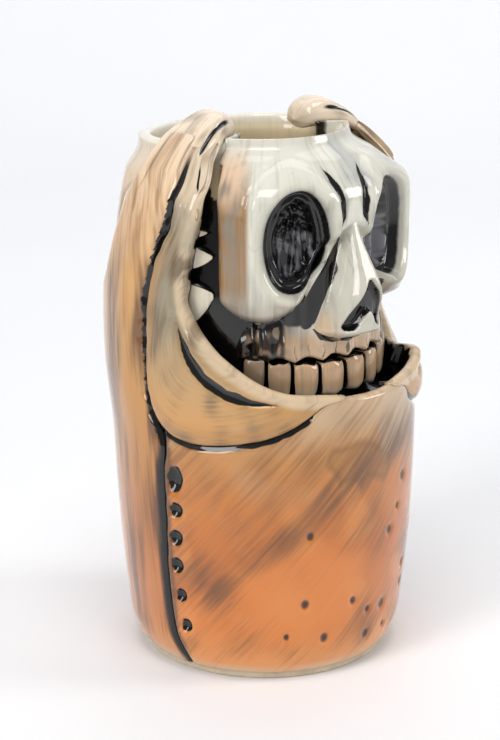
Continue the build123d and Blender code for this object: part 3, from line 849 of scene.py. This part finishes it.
def place_fold(u, v, drawn_back=0.0):
    """The fold that sweeps down from the arm and under the jaw, rolled in at the mouth."""
    share, roll = split_at(u, 0.74)
    angle, z, radius, ink, out, edge, width, ends, v, s = fold_surface(share, v, drawn_back)
    x = angle * DEG
    line, d = stroke([(a * DEG, h) for a, h in LIP_CREASE], x, z, 3.4, 7)
    radius = radius - 1.1 * bell(d, 1.6) * smooth(0.0, 0.3, line + 0.15)
    ink = inked(ink, line)
    for number, offset in enumerate((0.42, 0.66)):
        spot = offset + 0.05 * np.sin(v * 9 + number * 2)
        furrow = bell((share - spot) * width, 0.9) * smooth(0.5, 0.62, v)
        radius = radius - 0.45 * furrow
        ink = inked(ink, 0.34 * furrow)
    tint = toned(
        tinted(FOLD_TINT, z),
        ((0.50, 0.26, 0.085), smooth(9, 2.5, out) * smooth(150, 128, z) * 0.75),
        ((0.72, 0.56, 0.38), smooth(3.6, 1.2, edge) * 0.8),
        ((0.34, 0.30, 0.22), smooth(0.1, 0.8, waves(x, z * 0.5, 11, 17)) * smooth(104, 120, z) * 0.6),
    )
    wash = 0.38 + 0.6 * waves(x, z * 0.5, 9, 19) + 0.3 * smooth(4, 1, out)
    wash = wash * (1 - 0.6 * smooth(140, 154, z))
    lower = smooth(0.62, 0.50, v)

    # the lip rolls away from the face and then falls inwards
    swing = np.pi * 0.85 * np.clip(roll * 2, 0, 1)
    fall = np.clip(roll * 2 - 1, 0, 1)
    inward = 2.0 * (1 - np.cos(swing)) * mix(0.9, 1.0, lower) + fall * mix(2.6, 2.0, lower)
    forward = 1.5 * np.sin(swing) - fall * mix(0.3, 6.0, lower) * smooth(0, 0.1, v)
    toward = unit(np.stack([(ends[2] - ends[0]) * DEG, ends[3] - ends[1]], -1))
    angle = angle + forward * toward[:, 0] / DEG
    height = z + forward * toward[:, 1]
    blobs = smooth(0.2, 0.9, np.cos(np.radians((z - 131.0) * 360 / 9.6))) * smooth(116, 122, z)
    radius = radius - inward + 1.3 * blobs * smooth(0.3, 0.6, roll) * (1 - lower)
    border = mix(0.62, 0.34, lower)
    black = smooth(border, border + 0.25, roll + 0.07 * waves(x, z, 6, 23))
    ink = inked(ink * (1 - roll), black)

    # and higher up the whole sheet joins the arm's top
    phi = mix(SEAM_PHI, 1.0, share)
    raised = smooth(150, 160, z)
    depth, seam_ink = seam_groove(share * 9.0, 150 + 0 * z)
    points, crease_ink = join_limb(ring_point(radius, angle, height), phi, s, z)
    core = unit(limb(0.2 + 0 * s, s) - np.array([0, 0, 5.0]) - points)
    points = points + core * ((depth * (1 - roll) + 3.5 * roll) * raised)[:, None]
    top_ink = inked(seam_ink * smooth(0.62, 0.30, s) * (1 - roll), black)
    ink = inked(mix(ink, top_ink, raised), crease_ink * (1 - roll))
    ink = ink * (1 - 0.7 * smooth(160, 166, z) * smooth(0.3, 0.6, roll))
    tint = mix(tint, limb_tint(phi, s), raised[:, None])
    flow = np.stack([out, v * 150 + s * 40, 0 * out], -1)
    return points, tint, ink, wash * (1 - 0.4 * lower), flow


def limb_length():
    crest = np.array([row[1] for row in LIMB], float)
    return np.concatenate([[0], np.cumsum(np.linalg.norm(np.diff(crest, axis=0), axis=1))])


def limb_stations():
    return limb_length() / limb_length()[-1]


def split_rise(v, below):
    """Splits a sheet's run between what is below the arm's top and the share s along the top."""
    above = limb_length()[-1]
    run = v * (below + above * CUT)
    s = np.clip((run - below) / above, 0, CUT)
    crest = np.array([row[1][2] for row in LIMB], float)
    return np.minimum(run, below), s, through(limb_stations(), crest, s)


def limb(phi, s):
    """Points on the arm's top: phi runs -1 to 1 from its rear to its front edge, s from 0 to 1."""
    stations = limb_stations()
    rear, crest, front = (
        np.stack([through(stations, np.array([row[k][c] for row in LIMB], float), s)
                  for c in range(3)], -1)
        for k in range(3))
    share = ((phi + 1) / 2)[:, None]
    chord = mix(rear, front, share)
    lift = crest - (rear + front) / 2
    dome = np.clip(1 - np.abs(phi) ** 3.0, 0, 1) ** 0.47
    return chord + lift * dome[:, None]


def limb_creases(phi, s):
    """Depth and ink of the furrows drawn along the arm's top."""
    depth, ink = 0 * s, 0 * s
    for spot, start, stop, deep, dark in FURROWS:
        line = spot + 0.08 * np.sin(s * 8 + spot * 9)
        span = smooth(start, start + 0.1, s) * smooth(stop, stop - 0.14, s)
        on_line = bell(phi - line, 0.075) * span
        depth = depth + deep * on_line
        ink = inked(ink, dark * on_line)
    return depth, ink


def join_limb(points, phi, s, z):
    """Moves a sheet's points from the barrel on to the arm's top as it rises."""
    depth, ink = limb_creases(phi, s)
    top = limb(phi, s)
    inward = unit(limb(phi * 0.2, s) - np.array([0, 0, 6.0]) - top)
    share = smooth(145, 160, z)
    return mix(points, top + inward * depth[:, None], share[:, None]), ink * share


def limb_tint(phi, s):
    height = limb(phi, s)[:, 2]
    side = smooth(0.3, 0.7, phi)[:, None]
    tint = mix(tinted(ARM_TINT, height), tinted(FOLD_TINT, height), side)
    return toned(tint, ((0.84, 0.70, 0.54), smooth(0.62, 0.95, s) * 0.7))


def place_tip(u, v):
    """The end of the arm, from where it crosses the rim: a tube with a rounded end."""
    s = mix(CUT - 0.06, 1.0, v)
    top_share, under = split_at(u, 0.66)
    phi = top_share * 2 - 1
    top, crease_ink = join_limb(limb(phi, s), phi, s, 170 + 0 * s)
    low = mix(limb(0 * u + 1, s), limb(0 * u - 1, s), under[:, None])
    low[:, 2] -= 2.2 * np.sin(np.pi * under) * smooth(1.0, 0.9, s)
    points = np.where((under > 0)[:, None], low, top)
    toward = unit(limb(0 * u, s) - np.array([0, 0, 4.0]) - points)
    sunk = 0.35 * smooth(CUT + 0.01, CUT - 0.02, s)
    points = points + toward * sunk[:, None]
    below = smooth(0.25, 0.75, np.sin(np.pi * under)) * smooth(0.9, 0.7, s) * 0.9
    ink = inked(np.where(under > 0, 0.0, crease_ink), below)
    wash = (0.35 + 0.35 * waves(phi * 10, s * 40, 9, 29)) * (1 - 0.6 * smooth(0.6, 0.95, s))
    flow = np.stack([phi * 12 + 8 * under, s * 60, 0 * s], -1)
    return points, limb_tint(phi, s), ink, wash, flow


def place_cup(u, v):
    """The cup: underside, shelf below the skull, neck, rim and the inside down to the floor."""
    angle = mix(180.0, -180.0, u)
    m = np.abs(angle)
    rim, neck = curve(RIM, m), curve(NECK, m)
    top = mix(169.9, 168.2, smooth(20, 150, m))
    inner = rim - 4.3
    profile = [
        (0, 3.4), (30, 3.2), (38.0, 3.2), (42.6, 20), (44.6, 50), (45.2, 80), (44.6, 85),
        (neck + 4, 88.5), (neck, 96), (neck + 0.6, 120), (mix(neck, rim, 0.22), 142),
        (mix(neck, rim, 0.62), 154), (rim - 0.2, 163), (rim, 166.5), (rim - 0.5, top - 1.0),
        (rim - 1.4, top - 0.2), (rim - 2.2, top), (inner + 1.2, top - 0.2),
        (inner + 0.4, top - 1.1), (inner, top - 3.4), (inner - 0.2, top - 7),
        (mix(neck, rim, 0.62) - 4.3, 152), (mix(neck, rim, 0.2) - 4.2, 138), (neck - 4.0, 120),
        (neck - 4.0, 94), (mix(neck, 41, 0.6) - 2.4, 84), (40.8, 76), (40.6, 50), (39.0, 20),
        (36.5, 11), (30, 8.2), (0, 7.8),
    ]
    position = v * (len(profile) - 1)
    i = np.clip(position.astype(int), 0, len(profile) - 2)
    column = np.arange(len(u))

    def along(values):
        """A smooth line through one coordinate of the profile, for each point's own angle."""
        rows = np.stack([value + 0 * m for value in values])
        slopes = np.gradient(rows, axis=0)
        return hermite(position - i, rows[i, column], rows[i + 1, column],
                       slopes[i, column], slopes[i + 1, column])

    radius = np.maximum(along([r for r, _ in profile]), 0)
    height = along([h for _, h in profile])
    recess = (position < 13) & (height > 84)
    slot_top = mix(162.5, 152.0, smooth(78, 70, m))
    patch = height + 0.8 * waves(angle * 0.6, height, 6, 31)
    ink = np.where(recess, smooth(slot_top + 1.5, slot_top - 1.5, patch), 0.0)
    lip = smooth(11.5, 13.0, position) * smooth(20.0, 17.5, position)
    spots = smooth(1.15, 1.5, waves(angle * 0.6, height, 5, 41)) * lip
    tint = toned(
        np.tile(np.array(LINER), (len(u), 1)),
        ((0.84, 0.80, 0.70), lip),
        ((0.70, 0.62, 0.48), (position < 3).astype(float) * 0.6),
        ((0.45, 0.36, 0.24), spots * 0.5),
    )
    grain = np.stack([angle * 0.6, height, 0 * height], -1)
    return ring_point(radius, angle, height), tint, ink, 0.03 + 0 * m, grain

# ---- Skull ----


def scaled(points):
    return [(a * FACE_MM, z) for a, z in points]


def nose_surface(x, z):
    """Radius of the nose's surface, which is below the face where there is no nose."""
    spread = x / curve(NOSE_WIDTH, z)
    nose = mix(curve(NOSE_CREST, z), 36.0, smooth(0.30, 1.18, spread)) - 25 * smooth(147, 157, z)
    nose = nose - 9 * smooth(1.05, 1.5, spread)
    return nose * np.where(z > 108.5, 1, 0.7)


def place_skull(u, v):
    """The skull's face, its nose and the gum above the teeth, as one relief."""
    z = mix(89.0, 170.6, v)
    reach = mix(70.0, 72.5, smooth(150, 162, z))
    angle = reach * (1 - 2 * u)
    m = np.abs(angle)
    x = m * FACE_MM

    recess = mix(31.5, 33.0, smooth(100, 118, z)) - 1.5 * smooth(54, 66, m)
    recess = mix(recess, 21.0, smooth(152, 164, z))
    scribble = waves(x * 1.6, z * 0.9, 6, 51)

    scallop = 102.2 + 1.4 * np.abs(np.sin(np.radians(m * 180 / 14.2)))
    gum = smooth(scallop - 0.4, scallop + 1.6, z) * smooth(66, 54, m)
    gum_radius = 37.6 + 0.5 * np.cos(np.radians(m * 360 / 14.2)) - 2.6 * smooth(30, 62, m)
    gum_radius = gum_radius + 0.35 * scribble * smooth(28, 36, m)
    gum_radius = gum_radius - 1.4 * smooth(108, 117, z) * smooth(26, 34, m)
    radius = mix(recess, gum_radius, gum * smooth(156, 146, z))

    flat = mix(curve(FLAT, m), 1.0, smooth(158, 168, z) * 0.8)
    cheek_tuck = 1 - 0.05 * smooth(124, 115, z)
    face = mix(curve(BROW, z) * flat * cheek_tuck, curve(RIM, m) + 0.3, smooth(164, 170, z))
    edge = depth_in(rounded(scaled(SKULL_EDGE) + [(-6, 142.5), (-6, 178)], 1), x, z)
    body = np.sqrt(np.clip(smooth(-0.3, 4.4, edge), 0, 1))
    body = np.maximum(body, smooth(158, 164, z) * smooth(reach - 1.5, reach - 4.0, m))
    radius = np.maximum(radius, mix(recess, face, body * np.where(edge > -0.3, 1, 0)))

    ring = depth_in(rounded(scaled(EYE_RING)), x, z)
    socket = depth_in(rounded(scaled(SOCKET), 3), x, z)
    radius = radius + 1.3 * smooth(-0.6, 2.2, ring) * smooth(-0.5, -2.5, socket) * body
    radius = radius - 0.5 * bell(ring, 0.8) * smooth(150, 156, z)
    wall = 5.2 * smooth(-0.7, 1.5, socket)
    bowl = 4.6 * smooth(2.6, 5.4, socket + 0.5 * waves(x, z, 7, 61))
    radius = radius - wall - bowl
    within = smooth(2.6, 5.0, socket)
    for spot, lean, tall in ((23.5, 0.10, 0.9), (28.5, -0.12, 1.2), (19.0, 0.22, 0.7)):
        ridge = bell(x - spot * FACE_MM - lean * (z - 138), 0.75)
        radius = radius + 1.7 * tall * ridge * within * smooth(146, 140, z) * smooth(129, 132, z)
    radius = radius + 0.8 * within * waves(x, z, 3.2, 63) * smooth(136, 146, z)

    nose = nose_surface(x, z)
    nose_mask = smooth(0.4, -0.4, 36.5 - nose)
    nostril = depth_in(rounded(scaled(NOSTRIL), 1), x, z)
    radius = np.maximum(nose, radius) - 3.4 * smooth(-0.7, 0.8, nostril)

    ink = smooth(-0.55, 0.15, nostril)
    for points, line_width, seed, ends, dark, deep in SKULL_LINES:
        line, _ = stroke(scaled(points), x, z, line_width, seed, ends)
        ink = inked(ink, dark * line)
        radius = radius - deep * line
    width = curve(NOSE_WIDTH, z)
    pooled = 0.62 + 0.34 * waves(x * 1.5, (z - 138) * 0.8, 6, 65)
    scratches = 0.30 + 0.35 * waves(x * 0.6, z * 1.6, 5, 64)
    far = smooth(0, -8, angle) * smooth(1.5, 4.0, socket)
    inner = mix(1.0, pooled, within * smooth(150, 141, z) * smooth(-8, 0, angle))
    inner = mix(inner, scratches, far * smooth(152, 140, z))
    ticks = smooth(0.82, 0.98, np.cos(np.radians(m * 360 / 7.1 + 50 * waves(x, z, 6, 58))))
    # black scribble on the gum's sides: partly brushwork, partly painted shade of the mouth, strongest
    # furthest out
    scribbled_shade = mix(0.66, 0.18, smooth(0.1, 0.9, scribble) * smooth(62, 40, m))
    ink = inked(
        ink,
        smooth(0.4, -0.2, edge) * smooth(0.2, 0.0, nose_mask) * (1 - gum) * 0.9,
        smooth(0.3, -0.4, edge) * smooth(113, 117, z) * smooth(width * 1.02, width * 1.15, x),
        smooth(-0.35, 0.7, socket) * inner,
        smooth(1.3, 0.4, np.abs(z - scallop - 0.2)) * smooth(58, 50, m),
        0.62 * ticks * gum * smooth(103.5, 105, z) * smooth(111.5, 108, z),
        # painted shade of the mouth, scribbled, on the gum's sides
        smooth(29, 35, m) * smooth(119, 115, z) * scribbled_shade,
        smooth(50, 60, m) * smooth(119, 116, z) * (edge < 0.3),
        smooth(66.3, 68.2, m) * smooth(158, 150, z),
        smooth(1.6, 0.5, (reach - m) * FACE_MM),
    )

    grey = smooth(-0.4, 0.9, waves(angle * 0.8, z, 22, 66)) * smooth(153, 160, z)
    tint = toned(
        np.tile(np.array((0.73, 0.71, 0.61)), (len(u), 1)),
        ((0.28, 0.135, 0.03), smooth(47.8, 50.5, m) * smooth(168, 152, z) * 0.97),
        ((0.80, 0.55, 0.36), smooth(48, 56, m) * smooth(148, 157, z) * smooth(170, 162, z) * 0.8),
        ((0.46, 0.48, 0.48), grey * smooth(30, -10, angle) * 0.6),
        ((0.62, 0.60, 0.47), smooth(-6.0, -1.0, socket) * smooth(0, -1, socket) * 0.5),
        ((0.52, 0.45, 0.35), smooth(129, 119, z) * smooth(16, 24, m) * 0.8),
        ((0.62, 0.40, 0.23), gum * smooth(114, 110, z) * 0.9),
        # painted shade of the mouth: the gum's sides darkened where they turn back inside
        ((0.24, 0.14, 0.07), gum * smooth(26, 40, m) * smooth(118, 114, z) * 0.9),
        ((0.56, 0.53, 0.44), smooth(150, 140, z) * nose_mask * 0.75),
        ((0.70, 0.47, 0.28), smooth(6, 12, x) * smooth(124, 114, z) * nose_mask * 0.85),
        ((0.26, 0.24, 0.20), smooth(-1.6, 0, socket) * 0.5),
        ((0.17, 0.17, 0.20), smooth(0, 1.5, socket) * 0.9),
        ((0.66, 0.60, 0.50), smooth(168.5, 170, z) * 0.35),
    )
    smudge = bell(m - 61, 4.5) * bell(z - 157, 3.2)
    wash = 0.12 + 0.30 * waves(x * 1.4, z, 12, 59) + 0.7 * smudge
    wash = wash + 0.30 * smooth(50, 56, m) * smooth(164, 150, z)
    wash = wash + 0.35 * smooth(130, 118, z) * smooth(16, 30, m)
    wash = wash + 0.35 * smooth(156, 160, z) * smooth(24, 12, m)
    wash = wash * (1 - 0.6 * smooth(157, 163, z))
    grain = np.stack([angle * FACE_MM, z, 0 * z], -1)
    radius = radius - 0.5 * smooth(169, 170.6, z) - 2.0 * smooth(67, 72, m) * smooth(156, 166, z)
    return ring_point(radius, angle, z), tint, ink, wash, grain


# ---- Settings ----


def setting(name, description, default, **limits):
    return bpy.props.FloatProperty(name=name, description=description, default=default, **limits)


def length_setting(name, description, default, low):
    return setting(name, description, default, min=low, unit="LENGTH", subtype="DISTANCE")


def share_setting(name, description, default):
    return setting(name, description, default, min=0.0, max=1.0, subtype="FACTOR")


def power_setting(name, description, default):
    return setting(name, description, default, min=0.0, unit="POWER")


class MugForm(bpy.types.PropertyGroup):
    cell: length_setting("Cell", "Size of the mesh cells on the body", 0.0006, 0.0003)
    skin: length_setting("Skin", "Thickness of the clay sheets", 0.0022, 0.0005)
    tooth_depth: length_setting("Tooth depth", "Front to back depth of each tooth", 0.0060, 0.001)
    foot_outer: length_setting("Foot radius", "Outside radius of the bare foot ring", 0.0395, 0.01)
    foot_width: length_setting("Foot width", "Width of the bare foot ring", 0.007, 0.001)


class MugGlaze(bpy.types.PropertyGroup):
    gloss: share_setting("Gloss", "Weight of the clear glaze", 1.0)
    strokes: share_setting("Pale strokes", "Strength of the pale brush strokes", 0.6)


class MugStage(bpy.types.PropertyGroup):
    paper: power_setting("Paper light", "Power of the light on the pale paper behind", 7.6)
    key: power_setting("Key light", "Power of the main softbox", 5.7)
    fill: power_setting("Fill light", "Power of the side softbox", 5.2)
    sky: share_setting("Surround", "Brightness of the pale surround", 0.27)


def cells(length_mm):
    """Number of mesh cells along that many millimetres of body."""
    return max(4, round(length_mm * MM / bpy.context.scene.mug_form.cell))


# strokes of each brushed glaze: dark, light, share of the pale strokes, grey stain
BRUSHED = {
    "amber glaze": ((0.13, 0.055, 0.022, 1), (0.80, 0.32, 0.075, 1), 1, 0),
    "ochre glaze": ((0.13, 0.085, 0.045, 1), (0.80, 0.60, 0.37, 1), 0.8, 0.22),
    "bone glaze": ((0.22, 0.20, 0.165, 1), (0.86, 0.85, 0.76, 1), 0.4, 0.30),
}


def glaze(name):
    """The named glaze, made once."""
    if name in bpy.data.materials:
        return bpy.data.materials[name]
    settings = bpy.context.scene.mug_glaze
    if name in BRUSHED:
        dark, light, pale, stain = BRUSHED[name]
        return make_glaze(name, dark, light, settings.strokes * pale, settings.gloss, stain)
    if name == "liner glaze":
        return make_glaze(name, (0.36, 0.29, 0.17, 1), (0.88, 0.84, 0.74, 1), 0.2, settings.gloss)
    if name == "bare clay":
        return make_plain(name, CLAY, 0.8, 0.75, 0.0)
    raise ValueError(f"no glaze is called {name}")


# ---- Operators ----


class MUG_OT_cup(bpy.types.Operator):
    """Make the cup with its rim, its inside and the dark wall behind the skull"""

    bl_idname = "mug.cup"
    bl_label = "Cup"

    def execute(self, context):
        piece = grid("mug_cup", 260, 248, place_cup, thickness=0, weld=True)
        finish_piece(piece, ["cup"], "liner_glaze")
        return {"FINISHED"}


class MUG_OT_foot(bpy.types.Operator):
    """Make the bare clay ring that the mug stands on"""

    bl_idname = "mug.foot"
    bl_label = "Foot ring"

    def execute(self, context):
        form = context.scene.mug_form
        low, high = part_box("foot_ring")
        tucked = 0.8 * MM  # hidden under the skin, above the ring's own height
        bpy.ops.object.select_all(action="DESELECT")
        bpy.ops.mesh.primitive_cylinder_add(
            vertices=128, radius=form.foot_outer, depth=high.z + tucked, end_fill_type="NOTHING")
        piece = named("mug_foot_ring")
        co = corners(piece)
        co[:, 2] += (high.z + tucked) / 2 + low.z
        piece.data.vertices.foreach_set("co", co.ravel())
        apply_modifier(piece, "SOLIDIFY", thickness=form.foot_width, offset=-1.0)
        apply_modifier(piece, "BEVEL", width=0.8 * MM, segments=4, limit_method="ANGLE")
        smooth_shaded(piece)
        finish_piece(piece, ["foot_ring"], "bare_clay")
        return {"FINISHED"}


class MUG_OT_apron(bpy.types.Operator):
    """Make the front of the body below the fold"""

    bl_idname = "mug.apron"
    bl_label = "Front apron"

    def execute(self, context):
        piece = grid("mug_front_apron", cells(142), cells(96), place_apron)
        finish_piece(piece, ["front_apron"], "amber_glaze")
        return {"FINISHED"}


class MUG_OT_back(bpy.types.Operator):
    """Make the shell round the back"""

    bl_idname = "mug.back"
    bl_label = "Back shell"

    def execute(self, context):
        piece = grid("mug_back_shell", cells(90), cells(150), place_back)
        finish_piece(piece, ["back_shell"], "amber_glaze")
        return {"FINISHED"}


class MUG_OT_arms(bpy.types.Operator):
    """Make the long arm down each side"""

    bl_idname = "mug.arms"
    bl_label = "Side rolls"

    def execute(self, context):
        for side, sign in SIDES:
            piece = grid(f"mug_{side}_side_roll", cells(46), cells(190), place_arm, sign < 0)
            finish_piece(piece, [f"{side}_side_roll"], "amber_glaze")
        return {"FINISHED"}


class MUG_OT_folds(bpy.types.Operator):
    """Make the fold on each side that sweeps under the jaw"""

    bl_idname = "mug.folds"
    bl_label = "Hood folds"

    def execute(self, context):
        for side, sign in SIDES:
            place = partial(place_fold, drawn_back=FOLD_BACK[side])
            piece = grid(f"mug_{side}_hood_fold", cells(44), cells(220), place, sign < 0)
            finish_piece(piece, [f"{side}_hood_fold", f"{side}_lip_roll"], "ochre_glaze")
        return {"FINISHED"}


class MUG_OT_tips(bpy.types.Operator):
    """Make the two curled tips that hook over the rim"""

    bl_idname = "mug.tips"
    bl_label = "Curled tips"

    def execute(self, context):
        for side, sign in SIDES:
            piece = grid(f"mug_{side}_curl_tip", cells(54), cells(74), place_tip, sign < 0,
                         thickness=0, weld=True)
            edit(piece, (bpy.ops.mesh.fill_holes, {"sides": 0}),
                 (bpy.ops.mesh.select_all, {"action": "SELECT"}),
                 (bpy.ops.mesh.normals_make_consistent, {"inside": False}))
            finish_piece(piece, [f"{side}_curl_tip"], "ochre_glaze")
        return {"FINISHED"}


class MUG_OT_skull(bpy.types.Operator):
    """Make the skull's face with its nose and the gum above the teeth"""

    bl_idname = "mug.skull"
    bl_label = "Skull"

    def execute(self, context):
        piece = grid("mug_skull", cells(134), cells(104), place_skull, thickness=1.6 * MM)
        finish_piece(piece, ["skull_mask", "nose_bone", "upper_jaw"], "bone_glaze")
        return {"FINISHED"}


class MUG_OT_teeth(bpy.types.Operator):
    """Make the eight upper teeth"""

    bl_idname = "mug.teeth"
    bl_label = "Teeth"

    def execute(self, context):
        depth = context.scene.mug_form.tooth_depth / MM
        for side, sign in SIDES:
            for number, (start, end, low, high, dim) in enumerate(TEETH, start=1):
                piece, co = lump(f"mug_{side}_tooth_{number}", 19, 5)
                wobble = 0.04 * waves(co[:, 0] * 3 + number, co[:, 2] * 3, 4, 70 + number)
                angle = mix(start, end, co[:, 0] * sign * -0.5 + 0.5)
                taper = 1 - 0.10 * smooth(0.2, -1, co[:, 2])
                angle = mix((start + end) / 2, angle, taper)
                z = mix(low, high, co[:, 2] * 0.5 + 0.5 + wobble)
                bulge = 0.9 * (1 - (co[:, 0]) ** 2) * (1 - 0.4 * co[:, 2] ** 2)
                radius = TOOTH_FRONT - depth / 2 - co[:, 1] * depth / 2
                radius = radius + np.where(co[:, 1] < 0, bulge, 0)
                tint = toned(
                    np.tile(np.array((0.66, 0.42, 0.235)), (len(co), 1)),
                    ((0.80, 0.70, 0.52), smooth(-0.2, -0.9, co[:, 2]) * 0.6),
                    ((0.26, 0.17, 0.10), np.full(len(co), dim)),
                )
                ink = inked(smooth(0.84, 0.95, np.abs(co[:, 0])), smooth(0.86, 0.97, co[:, 2]))
                finish_lump(piece, ring_point(radius, angle * sign, z), tint, ink,
                            np.full(len(co), 0.35), np.stack([angle * FACE_MM, z, 0 * z], -1))
                finish_piece(piece, [f"{side}_tooth_{number}"], "bone_glaze")
        return {"FINISHED"}


class MUG_OT_fangs(bpy.types.Operator):
    """Make the three small fangs beside the skull on each side"""

    bl_idname = "mug.fangs"
    bl_label = "Fangs"

    def execute(self, context):
        for side, sign in SIDES:
            for number, (top, point, bottom, reach) in enumerate(FANGS, start=1):
                piece, co = lump(f"mug_{side}_fang_{number}", 15, 4)
                along = co[:, 0] * 0.5 + 0.5
                thin = np.clip(1 - along**1.5, 0.10, 1) ** 0.7
                z = mix(point, mix(bottom, top, co[:, 2] * 0.5 + 0.5), thin)
                shift = FOLD_BACK[side] * smooth(141, 122, z)
                angle = mix(76.5 + shift, reach + 0.6 * shift, along)
                radius = 40.6 - 1.6 * along - co[:, 1] * 2.2 * thin
                tint = np.tile(np.array((0.80, 0.72, 0.56)), (len(co), 1))
                ink = smooth(0.80, 0.95, np.abs(co[:, 2])) * 0.9
                finish_lump(piece, ring_point(radius, angle * sign, z), tint, ink,
                            np.full(len(co), 0.15), np.stack([angle, z, 0 * z], -1))
                finish_piece(piece, [f"{side}_fang_{number}"], "bone_glaze")
        return {"FINISHED"}


def floor_point(across, run):
    """Points of the paper sweep: level, bent up through a quarter turn, then upright."""
    bend = np.clip((run - FLOOR_LEVEL) / FLOOR_BEND, 0, 1) * np.pi / 2
    radius = FLOOR_BEND * 2 / np.pi
    x = across * FLOOR_WIDTH
    y = np.minimum(run, FLOOR_LEVEL) + radius * np.sin(bend) - FLOOR_FRONT
    height = radius * (1 - np.cos(bend)) + np.clip(run - FLOOR_LEVEL - FLOOR_BEND, 0, None)
    turn = np.radians(FLOOR_TURN)
    return np.stack([x * np.cos(turn) - y * np.sin(turn), x * np.sin(turn) + y * np.cos(turn),
                     height], -1)


def aimed(item, place, target):
    """Turns a light or camera so that it looks from its place at the target."""
    aim = Vector(target) - Vector(place)
    item.rotation_euler = aim.to_track_quat("-Z", "Y").to_euler()


def softbox(name, place, target, size, size_y, energy):
    bpy.ops.object.light_add(type="AREA", location=place)
    light = bpy.context.object
    light.name = name
    light.data.shape = "RECTANGLE"
    light.data.size, light.data.size_y = size, size_y
    light.data.energy = energy
    aimed(light, place, target)


class MUG_OT_stage(bpy.types.Operator):
    """Set up the pale floor, the soft studio light and the camera"""

    bl_idname = "mug.stage"
    bl_label = "Stage"

    def execute(self, context):
        stage = context.scene.mug_stage
        bpy.ops.object.select_all(action="DESELECT")
        bpy.ops.mesh.primitive_grid_add(x_subdivisions=4, y_subdivisions=60, size=1)
        floor = named("stage_floor")
        co = corners(floor)
        points = floor_point(co[:, 0], (co[:, 1] + 0.5) * FLOOR_RUN)
        floor.data.vertices.foreach_set("co", points.ravel())
        smooth_shaded(floor)
        g = Glaze("pale paper")
        shade = g.noise(object_mm(g), 400.0, 2.0).step(0.2, 0.8)
        g.put(Base_Color=g.mix((0.90, 0.905, 0.92, 1), (0.93, 0.935, 0.945, 1), shade),
              Roughness=0.7)
        floor.data.materials.append(g.material)

        world = bpy.data.worlds.new("surround")
        context.scene.world = world
        world.use_nodes = True
        surround = world.node_tree.nodes["Background"]
        surround.inputs[0].default_value = (0.95, 0.965, 1.0, 1)
        surround.inputs[1].default_value = stage.sky

        mug = (0, 0, 0.1)
        softbox("key", (-0.95, -0.10, 0.60), mug, 0.35, 0.75, stage.key)
        softbox("fill", (0.78, -0.78, 0.50), mug, 0.35, 0.60, stage.fill)
        softbox("over", (-0.25, -0.30, 1.15), mug, 0.55, 0.55, stage.key * 0.9)
        softbox("paper", (0.55, 0.65, 1.25), (1.0, 1.15, 0.0), 1.6, 1.2, stage.paper)

        bpy.ops.object.camera_add(location=CAMERA_PLACE)
        camera = context.object
        camera.name = "camera"
        aimed(camera, CAMERA_PLACE, CAMERA_TARGET)
        camera.data.lens = CAMERA_LENS
        camera.data.sensor_width = 36.0
        camera.data.sensor_fit = "AUTO"
        context.scene.camera = camera
        context.scene.view_settings.view_transform = "Standard"
        return {"FINISHED"}


class MUG_PT_panel(bpy.types.Panel):
    bl_label = "Tiki mug"
    bl_idname = "MUG_PT_panel"
    bl_space_type = "VIEW_3D"
    bl_region_type = "UI"
    bl_category = "Tiki mug"

    def draw(self, context):
        layout = self.layout
        for group in ("mug_form", "mug_glaze", "mug_stage"):
            settings = getattr(context.scene, group)
            box = layout.box()
            for name in settings.__annotations__:
                box.prop(settings, name)
        for operator in OPERATORS:
            layout.operator(operator.bl_idname)


GROUPS = {"mug_form": MugForm, "mug_glaze": MugGlaze, "mug_stage": MugStage}
OPERATORS = (
    MUG_OT_cup, MUG_OT_foot, MUG_OT_back, MUG_OT_arms, MUG_OT_apron, MUG_OT_folds, MUG_OT_tips,
    MUG_OT_skull, MUG_OT_teeth, MUG_OT_fangs, MUG_OT_stage,
)
CLASSES = (*GROUPS.values(), *OPERATORS, MUG_PT_panel)


def register():
    for item in CLASSES:
        bpy.utils.register_class(item)
    for name, group in GROUPS.items():
        setattr(bpy.types.Scene, name, bpy.props.PointerProperty(type=group))


def unregister():
    for name in GROUPS:
        delattr(bpy.types.Scene, name)
    for item in reversed(CLASSES):
        bpy.utils.unregister_class(item)



def main():
    register()
    for operator in OPERATORS:
        group, name = operator.bl_idname.split(".")
        getattr(getattr(bpy.ops, group), name)()


if __name__ == "__main__":
    main()
